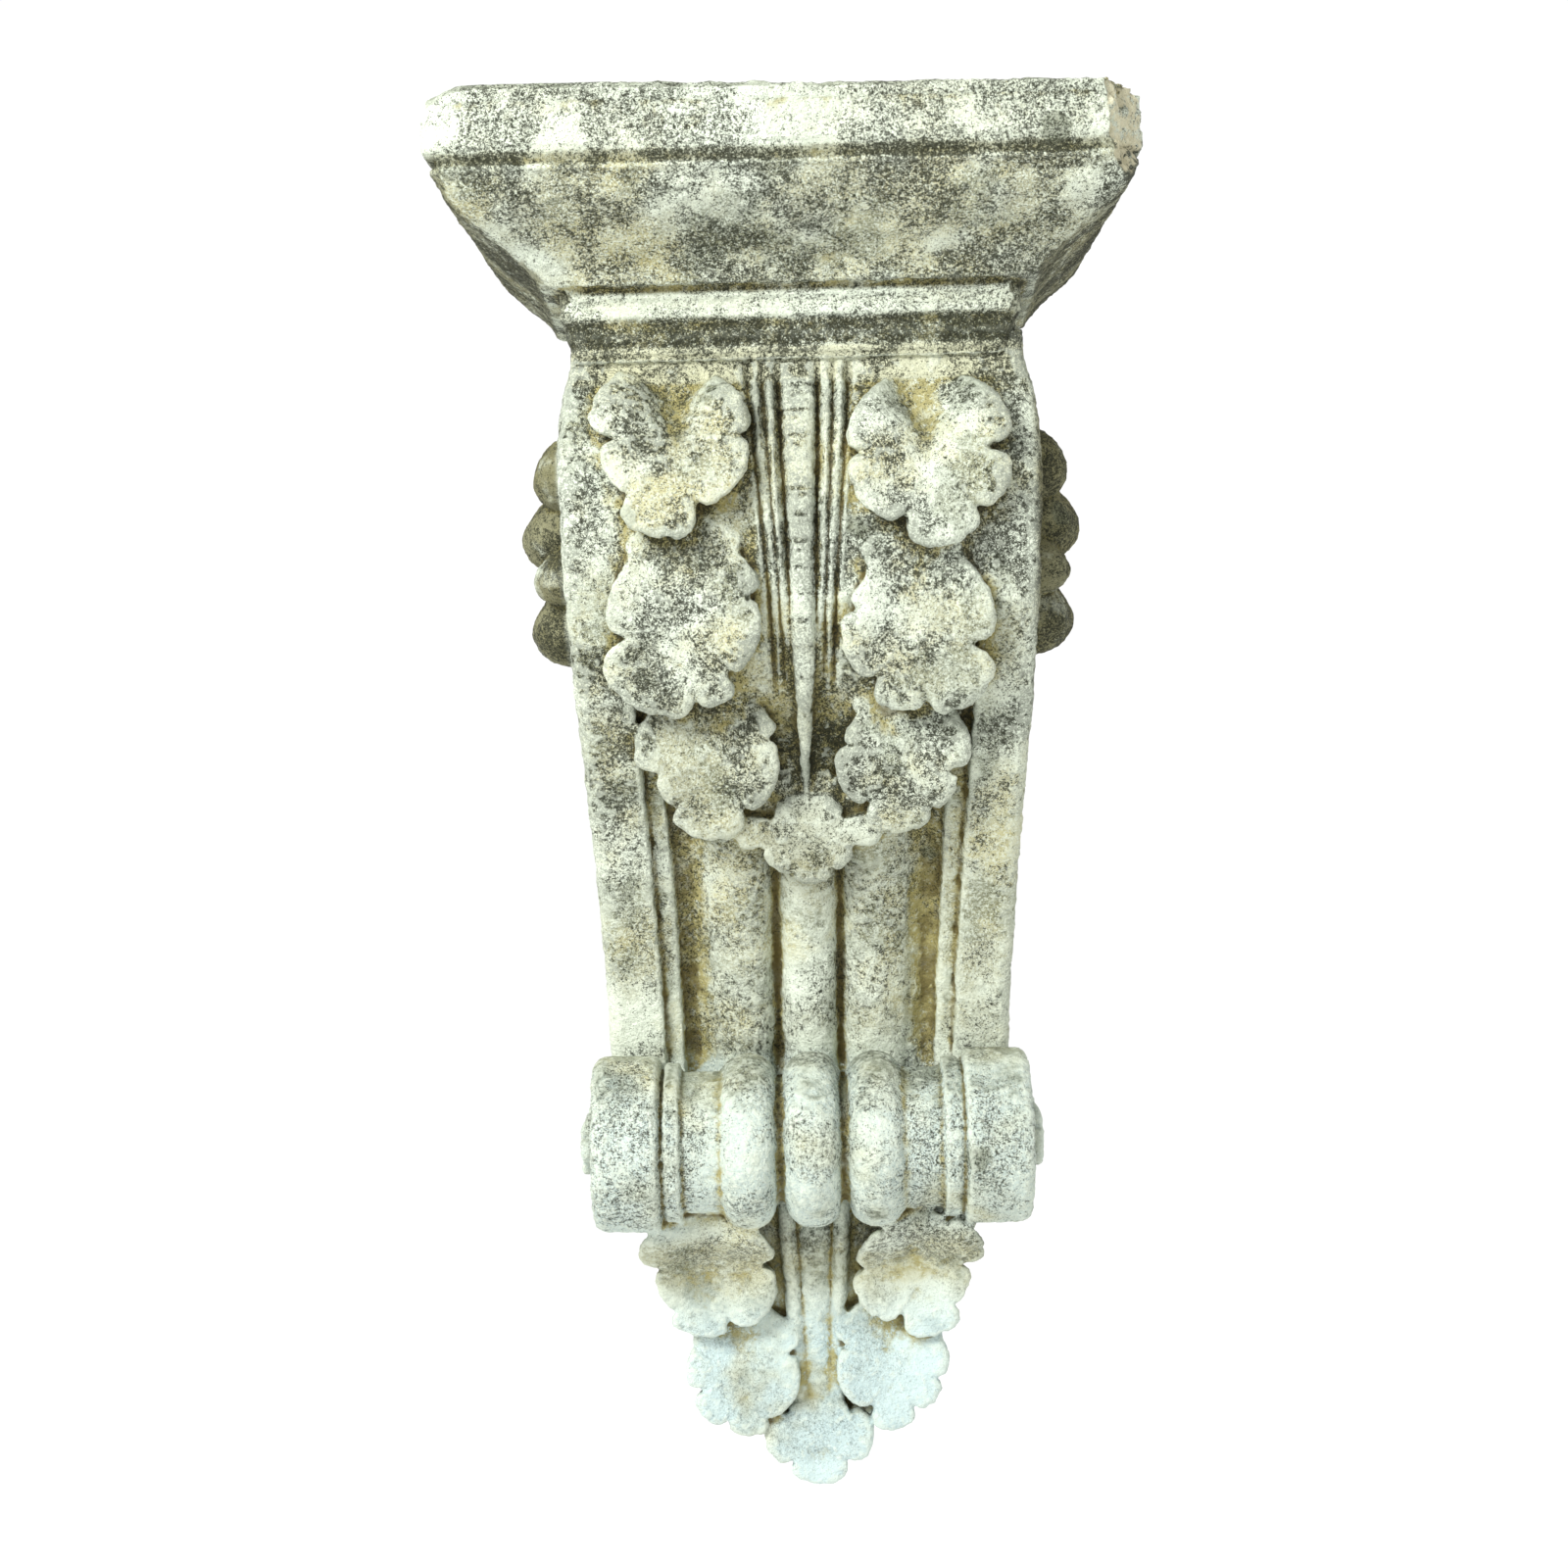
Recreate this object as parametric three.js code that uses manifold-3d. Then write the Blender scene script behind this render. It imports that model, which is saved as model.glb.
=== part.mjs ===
// A carved stone corbel, one solid: a moulded cap over an S-scroll bracket, with leaves on the front and
// sides, beads running down the front and over the lower roll, and a pendant of leaves below.
// Millimetres, +Z up. The back is flat in the plane y = 0 and the carving projects towards -Y.
// The origin is the middle of the flat back. Run with the npm packages three and manifold-3d.
import * as THREE from "three";
import { mergeVertices } from "three/addons/utils/BufferGeometryUtils.js";
import Module from "manifold-3d";

// Heights, from the top down
const topBandHeight = 34.5;
const topQuirkHeight = 4;
const ogeeHeight = 55.5;
const lowerQuirkHeight = 3;
const filletHeight = 16;
const coveHeight = 14;
const neckHeight = 8.5;
const shaftHeight = 391;
const tailHeight = 267.5;

// Widths and projections from the wall
const capHalfWidth = 190;
const capFlare = 9;
const capOverhang = 61;
const bodyHalfWidth = 131.5;
const bodyLean = 3;
const bulgeProjection = 229;
const waistProjection = 98;

// The lower roll
const rollRadius = 50.5;
const rollHalfWidth = 126;
const rollDrop = 50.5;
const rollForward = 17;

// Bands, beads and panels
const bandWidth = 33;
const bandChamfer = 6;
const panelSink = 16;
const sideSink = 7;
const sideRibbon = 15;
const wallBorder = 14;
const capCorner = 10;

// Carving heights
const leafRise = 17;
const leafEdge = 9;
const sideLeafRise = 34;
const sideLeafEdge = 12;
const rosetteRadius = 21;
const rosetteLift = 3;
const rosetteHeight = 14;
const spiralWidth = 11;

const capHeight =
  topBandHeight + topQuirkHeight + ogeeHeight + lowerQuirkHeight + filletHeight + coveHeight + neckHeight;
const overallHeight = capHeight + shaftHeight + tailHeight;
const topZ = overallHeight / 2;
const shaftTopZ = topZ - capHeight;
const creaseZ = shaftTopZ - shaftHeight;
const tipZ = -overallHeight / 2;
const rollZ = creaseZ - rollDrop;
const rollP = waistProjection + rollForward;
const smallestDetail = 0.25;
const rad = Math.PI / 180;

const wasm = await Module();
wasm.setup();

// A smooth curve through knots [share, value], flat beyond both ends
function smoothThrough(knots) {
  const slope = (i) => {
    const a = knots[Math.max(i - 1, 0)];
    const b = knots[Math.min(i + 1, knots.length - 1)];
    return (b[1] - a[1]) / (b[0] - a[0]);
  };
  return (t) => {
    if (t <= knots[0][0]) return knots[0][1];
    const i = knots.findIndex((k) => k[0] >= t);
    if (i < 0) return knots[knots.length - 1][1];
    const [t0, v0] = knots[i - 1];
    const [t1, v1] = knots[i];
    const gap = t1 - t0;
    const s = (t - t0) / gap;
    const far = s * s * (3 - 2 * s);
    const lean0 = s * (1 - s) * (1 - s) * gap * slope(i - 1);
    const lean1 = s * s * (s - 1) * gap * slope(i);
    return v0 + (v1 - v0) * far + lean0 + lean1;
  };
}

const ease = (a, b, t) => {
  const s = Math.min(Math.max((t - a) / (b - a), 0), 1);
  return s * s * (3 - 2 * s);
};

// Shares down the shaft, 0 at its top and 1 at the crease above the roll; the tail runs on from 1 to 2
const shareOf = (z) => (z > creaseZ ? (shaftTopZ - z) / shaftHeight : 1 + (creaseZ - z) / tailHeight);
const zOf = (t) => (t <= 1 ? shaftTopZ - t * shaftHeight : creaseZ - (t - 1) * tailHeight);

const bulgeShare = smoothThrough([
  [0, 0.82],
  [0.055, 0.92],
  [0.17, 1],
  [0.31, 0.95],
  [0.46, 0.77],
  [0.65, 0.44],
  [0.83, 0.15],
  [0.935, 0.045],
  [1, 0],
]);
const tailShare = smoothThrough([
  [1, 1],
  [1.25, 0.95],
  [1.45, 0.86],
  [1.65, 0.72],
  [1.85, 0.6],
  [2, 0.5],
]);
const widthShare = smoothThrough([
  [0, 0.94],
  [0.055, 0.987],
  [0.17, 1],
  [0.46, 0.967],
  [0.65, 0.936],
  [0.88, 0.905],
  [1, 0.893],
  [1.2, 0.86],
  [1.37, 0.77],
  [1.5, 0.66],
  [1.7, 0.44],
  [1.85, 0.26],
  [2, 0.08],
]);

// Projection of the front face and half the width, at a height
function frontAt(z) {
  const t = shareOf(z);
  if (t <= 1) return waistProjection + (bulgeProjection - waistProjection) * bulgeShare(t);
  return waistProjection * tailShare(t);
}
const halfWidthAt = (z) => bodyHalfWidth * widthShare(shareOf(z));

// A closed three.js geometry as a manifold-3d solid, with its faces turned to point outwards
function solidOf(geometry) {
  const bare = geometry.clone();
  bare.deleteAttribute("normal");
  bare.deleteAttribute("uv");
  const merged = mergeVertices(bare, 1e-3);
  const p = merged.attributes.position.array;
  const corners = [];
  let volume = 0;
  const a = new THREE.Vector3();
  const b = new THREE.Vector3();
  const c = new THREE.Vector3();
  for (let i = 0; i < merged.index.count; i += 3) {
    const [u, v, w] = [0, 1, 2].map((k) => merged.index.getX(i + k));
    if (u === v || v === w || w === u) continue;
    corners.push(u, v, w);
    volume += a.fromArray(p, 3 * u).dot(b.fromArray(p, 3 * v).cross(c.fromArray(p, 3 * w)));
  }
  if (volume < 0) corners.reverse();
  const mesh = new wasm.Mesh({
    numProp: 3,
    vertProperties: new Float32Array(p),
    triVerts: new Uint32Array(corners),
  });
  return new wasm.Manifold(mesh);
}

function solidFromFaces(points, faces) {
  const geometry = new THREE.BufferGeometry();
  geometry.setAttribute("position", new THREE.Float32BufferAttribute(points.flat(), 3));
  geometry.setIndex(faces.flat());
  return solidOf(geometry);
}

// A solid through closed rings of equal count, one above another, with both ends fanned from their middles
function loft(rings) {
  const n = rings[0].length;
  const points = rings.flat();
  const faces = [];
  for (let k = 0; k + 1 < rings.length; k++)
    for (let i = 0; i < n; i++) {
      const [a, b] = [k * n + i, k * n + ((i + 1) % n)];
      faces.push([a, b, b + n], [a, b + n, a + n]);
    }
  const middle = (ring) => [0, 1, 2].map((axis) => ring.reduce((sum, point) => sum + point[axis], 0) / n);
  const last = (rings.length - 1) * n;
  points.push(middle(rings[0]), middle(rings[rings.length - 1]));
  for (let i = 0; i < n; i++) {
    const j = (i + 1) % n;
    faces.push([points.length - 2, j, i], [points.length - 1, last + i, last + j]);
  }
  return solidFromFaces(points, faces);
}

// The cap: mouldings that return round both front corners and spread a little towards the wall
function cap() {
  const frontExtra = bulgeProjection + capOverhang - capHalfWidth;
  const fillet = capHalfWidth - capOverhang - 3.5;
  const neck = fillet - 4.5;
  const ogeeFoot = fillet + 9.5;
  const ogeeHead = capHalfWidth - 8;
  const ogeeTop = topBandHeight + topQuirkHeight;
  const filletTop = ogeeTop + ogeeHeight + lowerQuirkHeight;
  const filletFoot = filletTop + filletHeight;
  const steps = [
    [0, capHalfWidth - 7, 0],
    [4, capHalfWidth - 2, 0],
    [10, capHalfWidth, 0],
    [topBandHeight - 5, capHalfWidth, 0],
    [topBandHeight, capHalfWidth - 4, 0],
    [topBandHeight + topQuirkHeight * 0.4, ogeeHead - 4, 0],
    [ogeeTop, ogeeHead, 0],
  ];
  for (const s of [0.2, 0.35, 0.5, 0.65, 0.8, 1])
    steps.push([ogeeTop + s * ogeeHeight, ogeeHead + (ogeeFoot - ogeeHead) * ease(0.18, 1.05, s), ease(0.1, 0.7, s)]);
  steps.push([filletTop - 0.5, fillet - 2, 0.8]);
  steps.push([filletTop + 1.5, fillet, 0.4]);
  steps.push([filletFoot, fillet, 0.3]);
  steps.push([filletFoot + 1, fillet - 3, 0.2]);
  steps.push([filletFoot + coveHeight * 0.6, neck + 1, 0]);
  steps.push([filletFoot + coveHeight, neck, 0]);
  steps.push([filletFoot + coveHeight + neckHeight + 2, neck, 0]);
  const ring = ([down, half, flare]) => {
    const front = -(half + frontExtra);
    const wall = half + flare * capFlare;
    const points = [[wall, 0]];
    const turns = 3;
    for (const side of [1, -1])
      for (let i = 0; i <= turns; i++) {
        const a = (i / turns) * 90 * rad;
        const [out, ahead] = side > 0 ? [Math.cos(a), Math.sin(a)] : [Math.sin(a), Math.cos(a)];
        points.push([side * (half - capCorner + capCorner * out), front + capCorner - capCorner * ahead]);
      }
    points.push([-wall, 0]);
    return points.map(([x, y]) => [x, y, topZ - down]);
  };
  return loft(steps.map(ring));
}

// Columns of the front, from the axis outwards, as [x in mm, depth below the bands in mm]
function frontColumns(z) {
  const t = shareOf(z);
  const half = halfWidthAt(z);
  const inner = half - bandWidth;
  const sink = panelSink * ease(0.3, 0.6, t) * (1 - ease(1.1, 1.35, t));
  const beads = ease(0.5, 0.66, t) * (1 - ease(1.1, 1.35, t));
  const column = (share, depth) => [inner * share, sink * (1 - beads) * 0.8 + sink * beads * depth];
  return [
    column(0, 0.15),
    column(0.09, 0.22),
    column(0.15, 0.55),
    column(0.17, 1),
    column(0.245, 1),
    column(0.265, 0.6),
    column(0.33, 0.28),
    column(0.44, 0.15),
    column(0.54, 0.3),
    column(0.61, 0.75),
    column(0.68, 1.05),
    column(0.8, 1.1),
    column(0.865, 0.85),
    column(0.88, 0.42),
    column(0.965, 0.45),
    [inner - 1.5, sink],
    [inner + 0.4, 0],
  ];
}

// The shaft and the core of the pendant: plan sections from the neck down to the tip
function shaft() {
  const shares = [-0.02, 0.055, 0.17, 0.31, 0.46, 0.55, 0.61, 0.68, 0.76, 0.86, 0.95, 1.05, 1.25, 1.38, 1.5, 1.7, 1.85];
  const ring = (t) => {
    const z = zOf(t);
    const half = halfWidthAt(z);
    const front = frontAt(z);
    const chamfer = bandChamfer * (1 - ease(1.1, 1.4, t)) + 1.5;
    const belly = ease(1.2, 1.5, t) * 0.25 * half;
    const sink = sideSink * ease(0, 0.1, t) * (1 - ease(0.9, 1.02, t)) + 0.05;
    const ribbon = sideRibbon * (1 - ease(1, 1.5, t)) + 6 * ease(1, 1.5, t);
    const border = wallBorder * (1 - ease(1, 1.5, t)) + 6 * ease(1, 1.5, t);
    const right = [
      [half, 0],
      [half, border],
      [half - sink, border + 2],
      [half - sink, front - belly - ribbon - 2],
      [half, front - belly - ribbon],
      [half, front - belly - chamfer],
      [half - chamfer, front - belly * 0.8],
    ];
    const columns = frontColumns(z);
    const inner = columns[columns.length - 1][0];
    for (const [x, depth] of columns.reverse())
      right.push([x, front - depth - belly * 0.8 * (x / inner) ** 2]);
    const left = right.slice(0, -1).reverse();
    const around = [...right, ...left.map(([x, p]) => [-x, p])];
    return around.map(([x, p]) => [x, -p, z]);
  };
  return loft(shares.map(ring));
}

// The lower roll: one turned form, with bands at both ends and beads between them
function roll() {
  const inner = rollHalfWidth - bandWidth - 6;
  const deep = rollRadius - panelSink;
  const half = [
    [0, rollRadius],
    [0.12, rollRadius - 1.5],
    [0.18, rollRadius - 6],
    [0.19, deep],
    [0.26, deep],
    [0.27, rollRadius - 6],
    [0.34, rollRadius - 1],
    [0.44, rollRadius],
    [0.54, rollRadius - 2],
    [0.605, rollRadius - 7],
    [0.65, deep + 2],
    [0.74, deep - 1],
    [0.8, deep + 2],
    [0.82, rollRadius - 8],
    [0.91, rollRadius - 8],
    [0.93, deep],
    [0.97, deep],
    [1, rollRadius - 2],
    [1.04, rollRadius],
  ].map(([share, r]) => [share * inner, r]);
  half.push([rollHalfWidth - 8, rollRadius]);
  half.push([rollHalfWidth - 1.5, rollRadius - 4]);
  half.push([rollHalfWidth, rollRadius - 8]);
  half.push([rollHalfWidth, rollRadius - 16]);
  half.push([rollHalfWidth - sideSink, rollRadius - 18]);
  half.push([rollHalfWidth - sideSink, 0]);
  const left = half.slice(1).reverse();
  const profile = [...left.map(([x, r]) => [-x, r]), ...half].map(([x, r]) => new THREE.Vector2(r, x));
  const geometry = new THREE.LatheGeometry(profile, 24);
  geometry.rotateZ(-90 * rad);
  geometry.translate(0, -rollP, rollZ);
  return solidOf(geometry);
}

// Rays round a leaf: one in the notch that starts each lobe, then three over the lobe's rounded edge
function raysOf(lobes, size) {
  return lobes.flatMap(([from, notch, peak], i) => {
    const next = lobes[(i + 1) % lobes.length];
    const to = next[0] + (i + 1 < lobes.length ? 0 : 360);
    return [0, 0.16, 0.5, 0.84].map((s) => {
      const base = notch + (next[1] - notch) * s;
      const swell = Math.sqrt(1 - Math.abs(2 * s - 1) ** 2.4);
      const reach = size * (base + (peak - base) * swell);
      return { bearing: from + (to - from) * s, reach, notch: s ? 0 : 1 };
    });
  });
}

// One leaf as a solid: a lobed slab, hollow in the middle and raised towards its lobes, with an undercut
// edge. Bearings run from straight down, positive outwards. place(out, up, height) puts a point in space.
function leaf({ lobes, size, rise, edge, bury, root = 180 }, place) {
  const rays = raysOf(lobes, size);
  const crest = (share, ray) => {
    const away = Math.abs(((ray.bearing - root + 540) % 360) - 180);
    const free = 0.25 + 0.75 * ease(20, 80, away);
    const hollow = 0.42 + 0.58 * ease(0.1, 0.8, share);
    return rise * free * hollow * (1 - 0.22 * ray.notch * share);
  };
  const at = (share, ray, height) => {
    const a = ray.bearing * rad;
    return place(Math.sin(a) * ray.reach * share, -Math.cos(a) * ray.reach * share, height);
  };
  const n = rays.length;
  const points = [place(0, 0, crest(0, { bearing: 0, notch: 0 }))];
  for (const share of [0.5, 0.86]) for (const ray of rays) points.push(at(share, ray, crest(share, ray)));
  for (const ray of rays) points.push(at(1, ray, crest(1, ray) - edge * 0.45));
  for (const ray of rays) points.push(at(0.9, ray, Math.max(crest(0.9, ray) - edge, -bury)));
  points.push(place(0, 0, -bury));
  const faces = [];
  for (let i = 0; i < n; i++) {
    const j = (i + 1) % n;
    faces.push([0, 1 + i, 1 + j]);
    for (let k = 0; k < 3; k++) {
      const [a, b] = [1 + k * n + i, 1 + k * n + j];
      faces.push([a, a + n, b + n], [a, b + n, b]);
    }
    faces.push([1 + 3 * n + i, 1 + 4 * n, 1 + 3 * n + j]);
  }
  return solidFromFaces(points, faces);
}

// Lobes of each leaf in turn, as [bearing of the notch before it, reach of that notch, reach of the lobe],
// with bearings from straight down, positive outwards, and reaches as shares of the leaf's size
const topLobes = [
  [-18, 0.68, 1.06],
  [43, 0.8, 0.88],
  [93, 0.55, 1],
  [162, 0.66, 0.58],
  [214, 0.84, 0.84],
  [268, 0.58, 1.03],
];
const middleLobes = [
  [-35, 0.6, 0.92],
  [4, 0.84, 1.1],
  [75, 0.64, 0.98],
  [150, 0.86, 0.86],
  [218, 0.85, 0.9],
  [247, 0.7, 0.88],
];
const lowLobes = [
  [-29, 0.62, 0.96],
  [41, 0.78, 0.82],
  [79, 0.59, 1.01],
  [148, 0.82, 0.82],
  [218, 0.86, 0.92],
  [243, 0.68, 0.86],
];
const endLobes = [
  [-28, 0.55, 0.72],
  [28, 0.55, 0.66],
  [66, 0.5, 1],
  [112, 0.53, 0.56],
  [248, 0.53, 1],
  [294, 0.5, 0.68],
];
const pendantLobes = [
  [-18, 0.68, 1],
  [45, 0.81, 0.78],
  [96, 0.6, 1.05],
  [150, 0.98, 0.98],
  [215, 1, 0.95],
  [264, 0.66, 0.96],
];
const lowerPendantLobes = [
  [-22, 0.85, 1.02],
  [80, 0.64, 0.97],
  [150, 0.92, 0.92],
  [243, 0.7, 0.92],
];
const tipLobes = [
  [-45, 0.62, 1],
  [45, 0.62, 1.02],
  [125, 0.94, 0.8],
  [235, 0.94, 1.02],
];
const sideLobes = [
  [-24, 0.72, 1],
  [24, 0.72, 0.95],
  [66, 0.6, 0.92],
  [130, 0.7, 0.7],
  [230, 0.7, 0.92],
  [294, 0.6, 0.95],
];

// Front leaves: share down the body, distance from the axis as a share of the width, size, and how much
// higher the left-hand leaf of the pair sits. A leaf on the axis has no pair.
const frontLeaves = [
  { lobes: topLobes, down: 0.137, out: 0.52, size: 50, rise: 1.1, leftUp: 9 },
  { lobes: middleLobes, down: 0.377, out: 0.47, size: 50, rise: 1, leftUp: 6 },
  { lobes: lowLobes, down: 0.561, out: 0.395, size: 45, rise: 0.95, leftUp: 1 },
  { lobes: endLobes, down: 0.664, out: 0, size: 45, rise: 0.55, leftUp: 0 },
  { lobes: pendantLobes, down: 1.492, out: 0.66, size: 42, rise: 1, leftUp: 0 },
  { lobes: lowerPendantLobes, down: 1.706, out: 0.7, size: 37, rise: 0.9, leftUp: -4 },
  { lobes: tipLobes, down: 1.88, out: 0, size: 32, rise: 0.8, leftUp: 0 },
];

function frontLeafSolids() {
  return frontLeaves.flatMap(({ lobes, down, out, size, rise, leftUp }) => {
    const centreZ = zOf(down);
    const centreX = out * halfWidthAt(centreZ);
    const make = (side) => {
      const up = side < 0 ? leftUp : 0;
      const place = (across, along, height) => {
        const z = centreZ + up + along;
        return [side * (centreX + across), -(frontAt(z) + height), z];
      };
      return leaf({ lobes, size, rise: leafRise * rise, edge: leafEdge, bury: panelSink + 8 }, place);
    };
    return out ? [make(1), make(-1)] : [make(1)];
  });
}

// Side leaves: a hanging sprig of three on each side of the upper scroll
const sideLeaves = [
  { down: 0.19, forward: 0.63, size: 39, rise: 1 },
  { down: 0.325, forward: 0.64, size: 33, rise: 0.93 },
  { down: 0.41, forward: 0.64, size: 25, rise: 0.75 },
];

function sideLeafSolids() {
  return sideLeaves.flatMap(({ down, forward, size, rise }) =>
    [1, -1].map((side) => {
      const centreZ = zOf(down);
      const centreP = forward * frontAt(centreZ);
      const place = (across, along, height) => {
        const z = centreZ + along;
        return [side * (halfWidthAt(z) - sideSink + height), -(centreP + across), z];
      };
      return leaf({ lobes: sideLobes, size, rise: sideLeafRise * rise, edge: sideLeafEdge, bury: 6 }, place);
    }),
  );
}

// A round flower of lobes on each end of the lower roll
function rosettes() {
  const petals = 7;
  const lobes = [];
  for (let i = 0; i < petals; i++) lobes.push([(i * 360) / petals, 0.78, 1]);
  return [1, -1].map((side) => {
    const base = rollHalfWidth - sideSink;
    const middleZ = rollZ + rosetteLift;
    const place = (across, along, height) => [side * (base + height), -(rollP + across), middleZ + along];
    return leaf({ lobes, size: rosetteRadius, rise: rosetteHeight, edge: 6, bury: 4, root: 720 }, place);
  });
}

// A raised strip along a line of stations [x, z, half width, height], on the front face
function raisedStrip(stations, bury) {
  const rings = stations.map(([x, z, half, height]) => {
    const front = frontAt(z);
    const across = [
      [-half, -bury],
      [-half, height * 0.4],
      [-half * 0.45, height],
      [half * 0.45, height],
      [half, height * 0.4],
      [half, -bury],
    ];
    return across.map(([dx, h]) => [x + dx, -(front + h), z]);
  });
  return loft(rings);
}

// The husk chain on the axis, and the stalks beside it that gather towards the end leaf
function stems() {
  const husk = [];
  const beads = 11;
  for (let i = 0; i <= beads * 2; i++) {
    const s = i / (beads * 2);
    const z = zOf(0.01 + 0.4 * s);
    const swell = i % 2 ? 1 : 0.8;
    husk.push([0, z, (10.5 - 4.5 * s) * swell, (6.5 - 1.5 * s) * swell]);
  }
  const rib = [];
  for (let i = 0; i <= 4; i++) {
    const s = i / 4;
    rib.push([0, zOf(0.4 + 0.25 * s), 5.5 - 1.5 * s, 4.5]);
  }
  const stalks = [1, -1].flatMap((side) =>
    [16, 24].map((start) => {
      const line = [];
      for (let i = 0; i <= 6; i++) {
        const s = i / 6;
        const x = side * (start - (start - 6) * 0.85 * ease(0.1, 1, s));
        line.push([x, zOf(0.01 + 0.52 * s), 3.2 - s * 0.8, 5.5 - s * 1.5]);
      }
      return raisedStrip(line, panelSink);
    }),
  );
  return [raisedStrip(husk, panelSink), raisedStrip(rib, panelSink), ...stalks];
}

// The stalk of the pendant: a flat rib between two ridges that meet below
function pendantStems() {
  const lines = [
    [0, 0, 8, 3, 5],
    [20, 5, 4, 3, 9],
    [-20, -5, 4, 3, 9],
  ];
  return lines.map(([from, to, wide, narrow, height]) => {
    const line = [];
    for (let i = 0; i <= 4; i++) {
      const s = i / 4;
      line.push([from + (to - from) * s, zOf(1.36 + 0.42 * s), wide + (narrow - wide) * s, height]);
    }
    return raisedStrip(line, panelSink);
  });
}

// The raised spiral of the upper scroll on each side
function sideSpirals() {
  const radius = 0.176 * shaftHeight;
  const centreZ = zOf(0.182);
  const centreP = bulgeProjection - radius;
  return [1, -1].map((side) => {
    const steps = 14;
    const sections = [];
    for (let i = 0; i <= steps; i++) {
      const s = i / steps;
      const a = (70 + 330 * s) * rad;
      const outer = radius * (1 - 0.45 * s) - 2;
      const x0 = halfWidthAt(centreZ + outer * Math.sin(a)) - sideSink;
      const corner = (r, h) => [side * (x0 + h), -(centreP + r * Math.cos(a)), centreZ + r * Math.sin(a)];
      sections.push([
        corner(outer, -4),
        corner(outer, sideSink - 0.6),
        corner(outer - spiralWidth, sideSink - 0.6),
        corner(outer - spiralWidth, -4),
      ]);
    }
    const faces = [[0, 1, 2], [0, 2, 3]];
    for (let k = 0; k < steps; k++)
      for (let i = 0; i < 4; i++) {
        const [a, b] = [k * 4 + i, k * 4 + ((i + 1) % 4)];
        faces.push([a, b + 4, b], [a, a + 4, b + 4]);
      }
    const last = steps * 4;
    faces.push([last, last + 2, last + 1], [last, last + 3, last + 2]);
    return solidFromFaces(sections.flat(), faces);
  });
}

// Blocks that cut away what is lost: the broken right-hand corner of the cap and the worn left-hand one
function losses() {
  const block = (x, y, z, turnZ, turnY) => {
    const box = new THREE.BoxGeometry(120, 160, 200, 1, 1, 1);
    box.translate(60, 0, 0);
    box.rotateY(turnY * rad);
    box.rotateZ(turnZ * rad);
    box.translate(x, y, z);
    return solidOf(box);
  };
  const front = -(bulgeProjection + capOverhang);
  return [
    block(capHalfWidth - 10, front + 20, topZ - 20, -26, -6),
    block(-(capHalfWidth - 14), front + 20, topZ - 5, -140, -50),
    block(-(capHalfWidth - 60), front + 20, topZ - 1, -110, -84),
  ];
}

// The body leans a little to the right as it rises
function leant(solid) {
  return solid.warp((point) => {
    point[0] += bodyLean * ease(rollZ - rollRadius, shaftTopZ - rollRadius, point[2]);
  });
}

const carved = [
  roll(),
  ...frontLeafSolids(),
  ...sideLeafSolids(),
  ...rosettes(),
  ...stems(),
  ...pendantStems(),
  ...sideSpirals(),
];
let body = shaft();
for (const solid of carved) body = body.add(solid);
let stone = cap().add(leant(body));
for (const solid of losses()) stone = stone.subtract(solid);
stone = stone.asOriginal().simplify(smallestDetail);

// Hollows sealed inside the stone, where an undercut meets its neighbour, are filled by keeping the outside
const shells = stone.decompose().sort((a, b) => b.volume() - a.volume());
stone = shells[0];


const { vertProperties, triVerts } = stone.getMesh();
const geometry = new THREE.BufferGeometry();
geometry.setAttribute("position", new THREE.BufferAttribute(vertProperties, 3));
geometry.setIndex(new THREE.BufferAttribute(triVerts, 1));
geometry.computeVertexNormals();

const limestone = new THREE.MeshStandardMaterial({ color: 0xc9c7ae, roughness: 0.92, metalness: 0 });
const corbel = new THREE.Mesh(geometry, limestone);
corbel.name = "corbel";
const part = new THREE.Group();
part.add(corbel);
export default part;
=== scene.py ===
import math

import bpy
import numpy as np
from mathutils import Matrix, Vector, noise


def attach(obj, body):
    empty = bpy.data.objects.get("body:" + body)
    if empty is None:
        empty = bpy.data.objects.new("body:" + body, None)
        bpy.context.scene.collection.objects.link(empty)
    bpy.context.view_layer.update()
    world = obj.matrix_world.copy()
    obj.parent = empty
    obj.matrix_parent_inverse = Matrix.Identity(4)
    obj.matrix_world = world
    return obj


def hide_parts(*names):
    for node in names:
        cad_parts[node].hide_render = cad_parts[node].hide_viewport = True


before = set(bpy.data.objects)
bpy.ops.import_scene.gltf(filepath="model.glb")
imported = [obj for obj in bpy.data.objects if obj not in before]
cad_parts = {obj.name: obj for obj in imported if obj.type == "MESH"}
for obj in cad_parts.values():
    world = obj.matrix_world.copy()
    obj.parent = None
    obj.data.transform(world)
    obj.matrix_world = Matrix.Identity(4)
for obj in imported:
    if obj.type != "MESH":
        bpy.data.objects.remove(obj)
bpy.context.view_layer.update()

print("corbel: frame loaded")
mm = 0.001

# The block's main heights, from the middle of its back, and how far it stands out from the wall, in mm
block = {
    "top": 397,
    "shaftTop": 261.5,
    "crease": -129.5,
    "tip": -397,
    "bulge": 229,
    "waist": 98,
    "halfWidth": 131.5,
    "lean": 3,
    "leanBetween": (-230.5, 211),
    "band": 33,
    "sink": 16,
    "sideSink": 7,
    "topLift": 2.4,
    "liftBetween": (370, 396),
}


def ease(a, b, t):
    s = np.clip((np.asarray(t, float) - a) / (b - a), 0, 1)
    return s * s * (3 - 2 * s)


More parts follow.
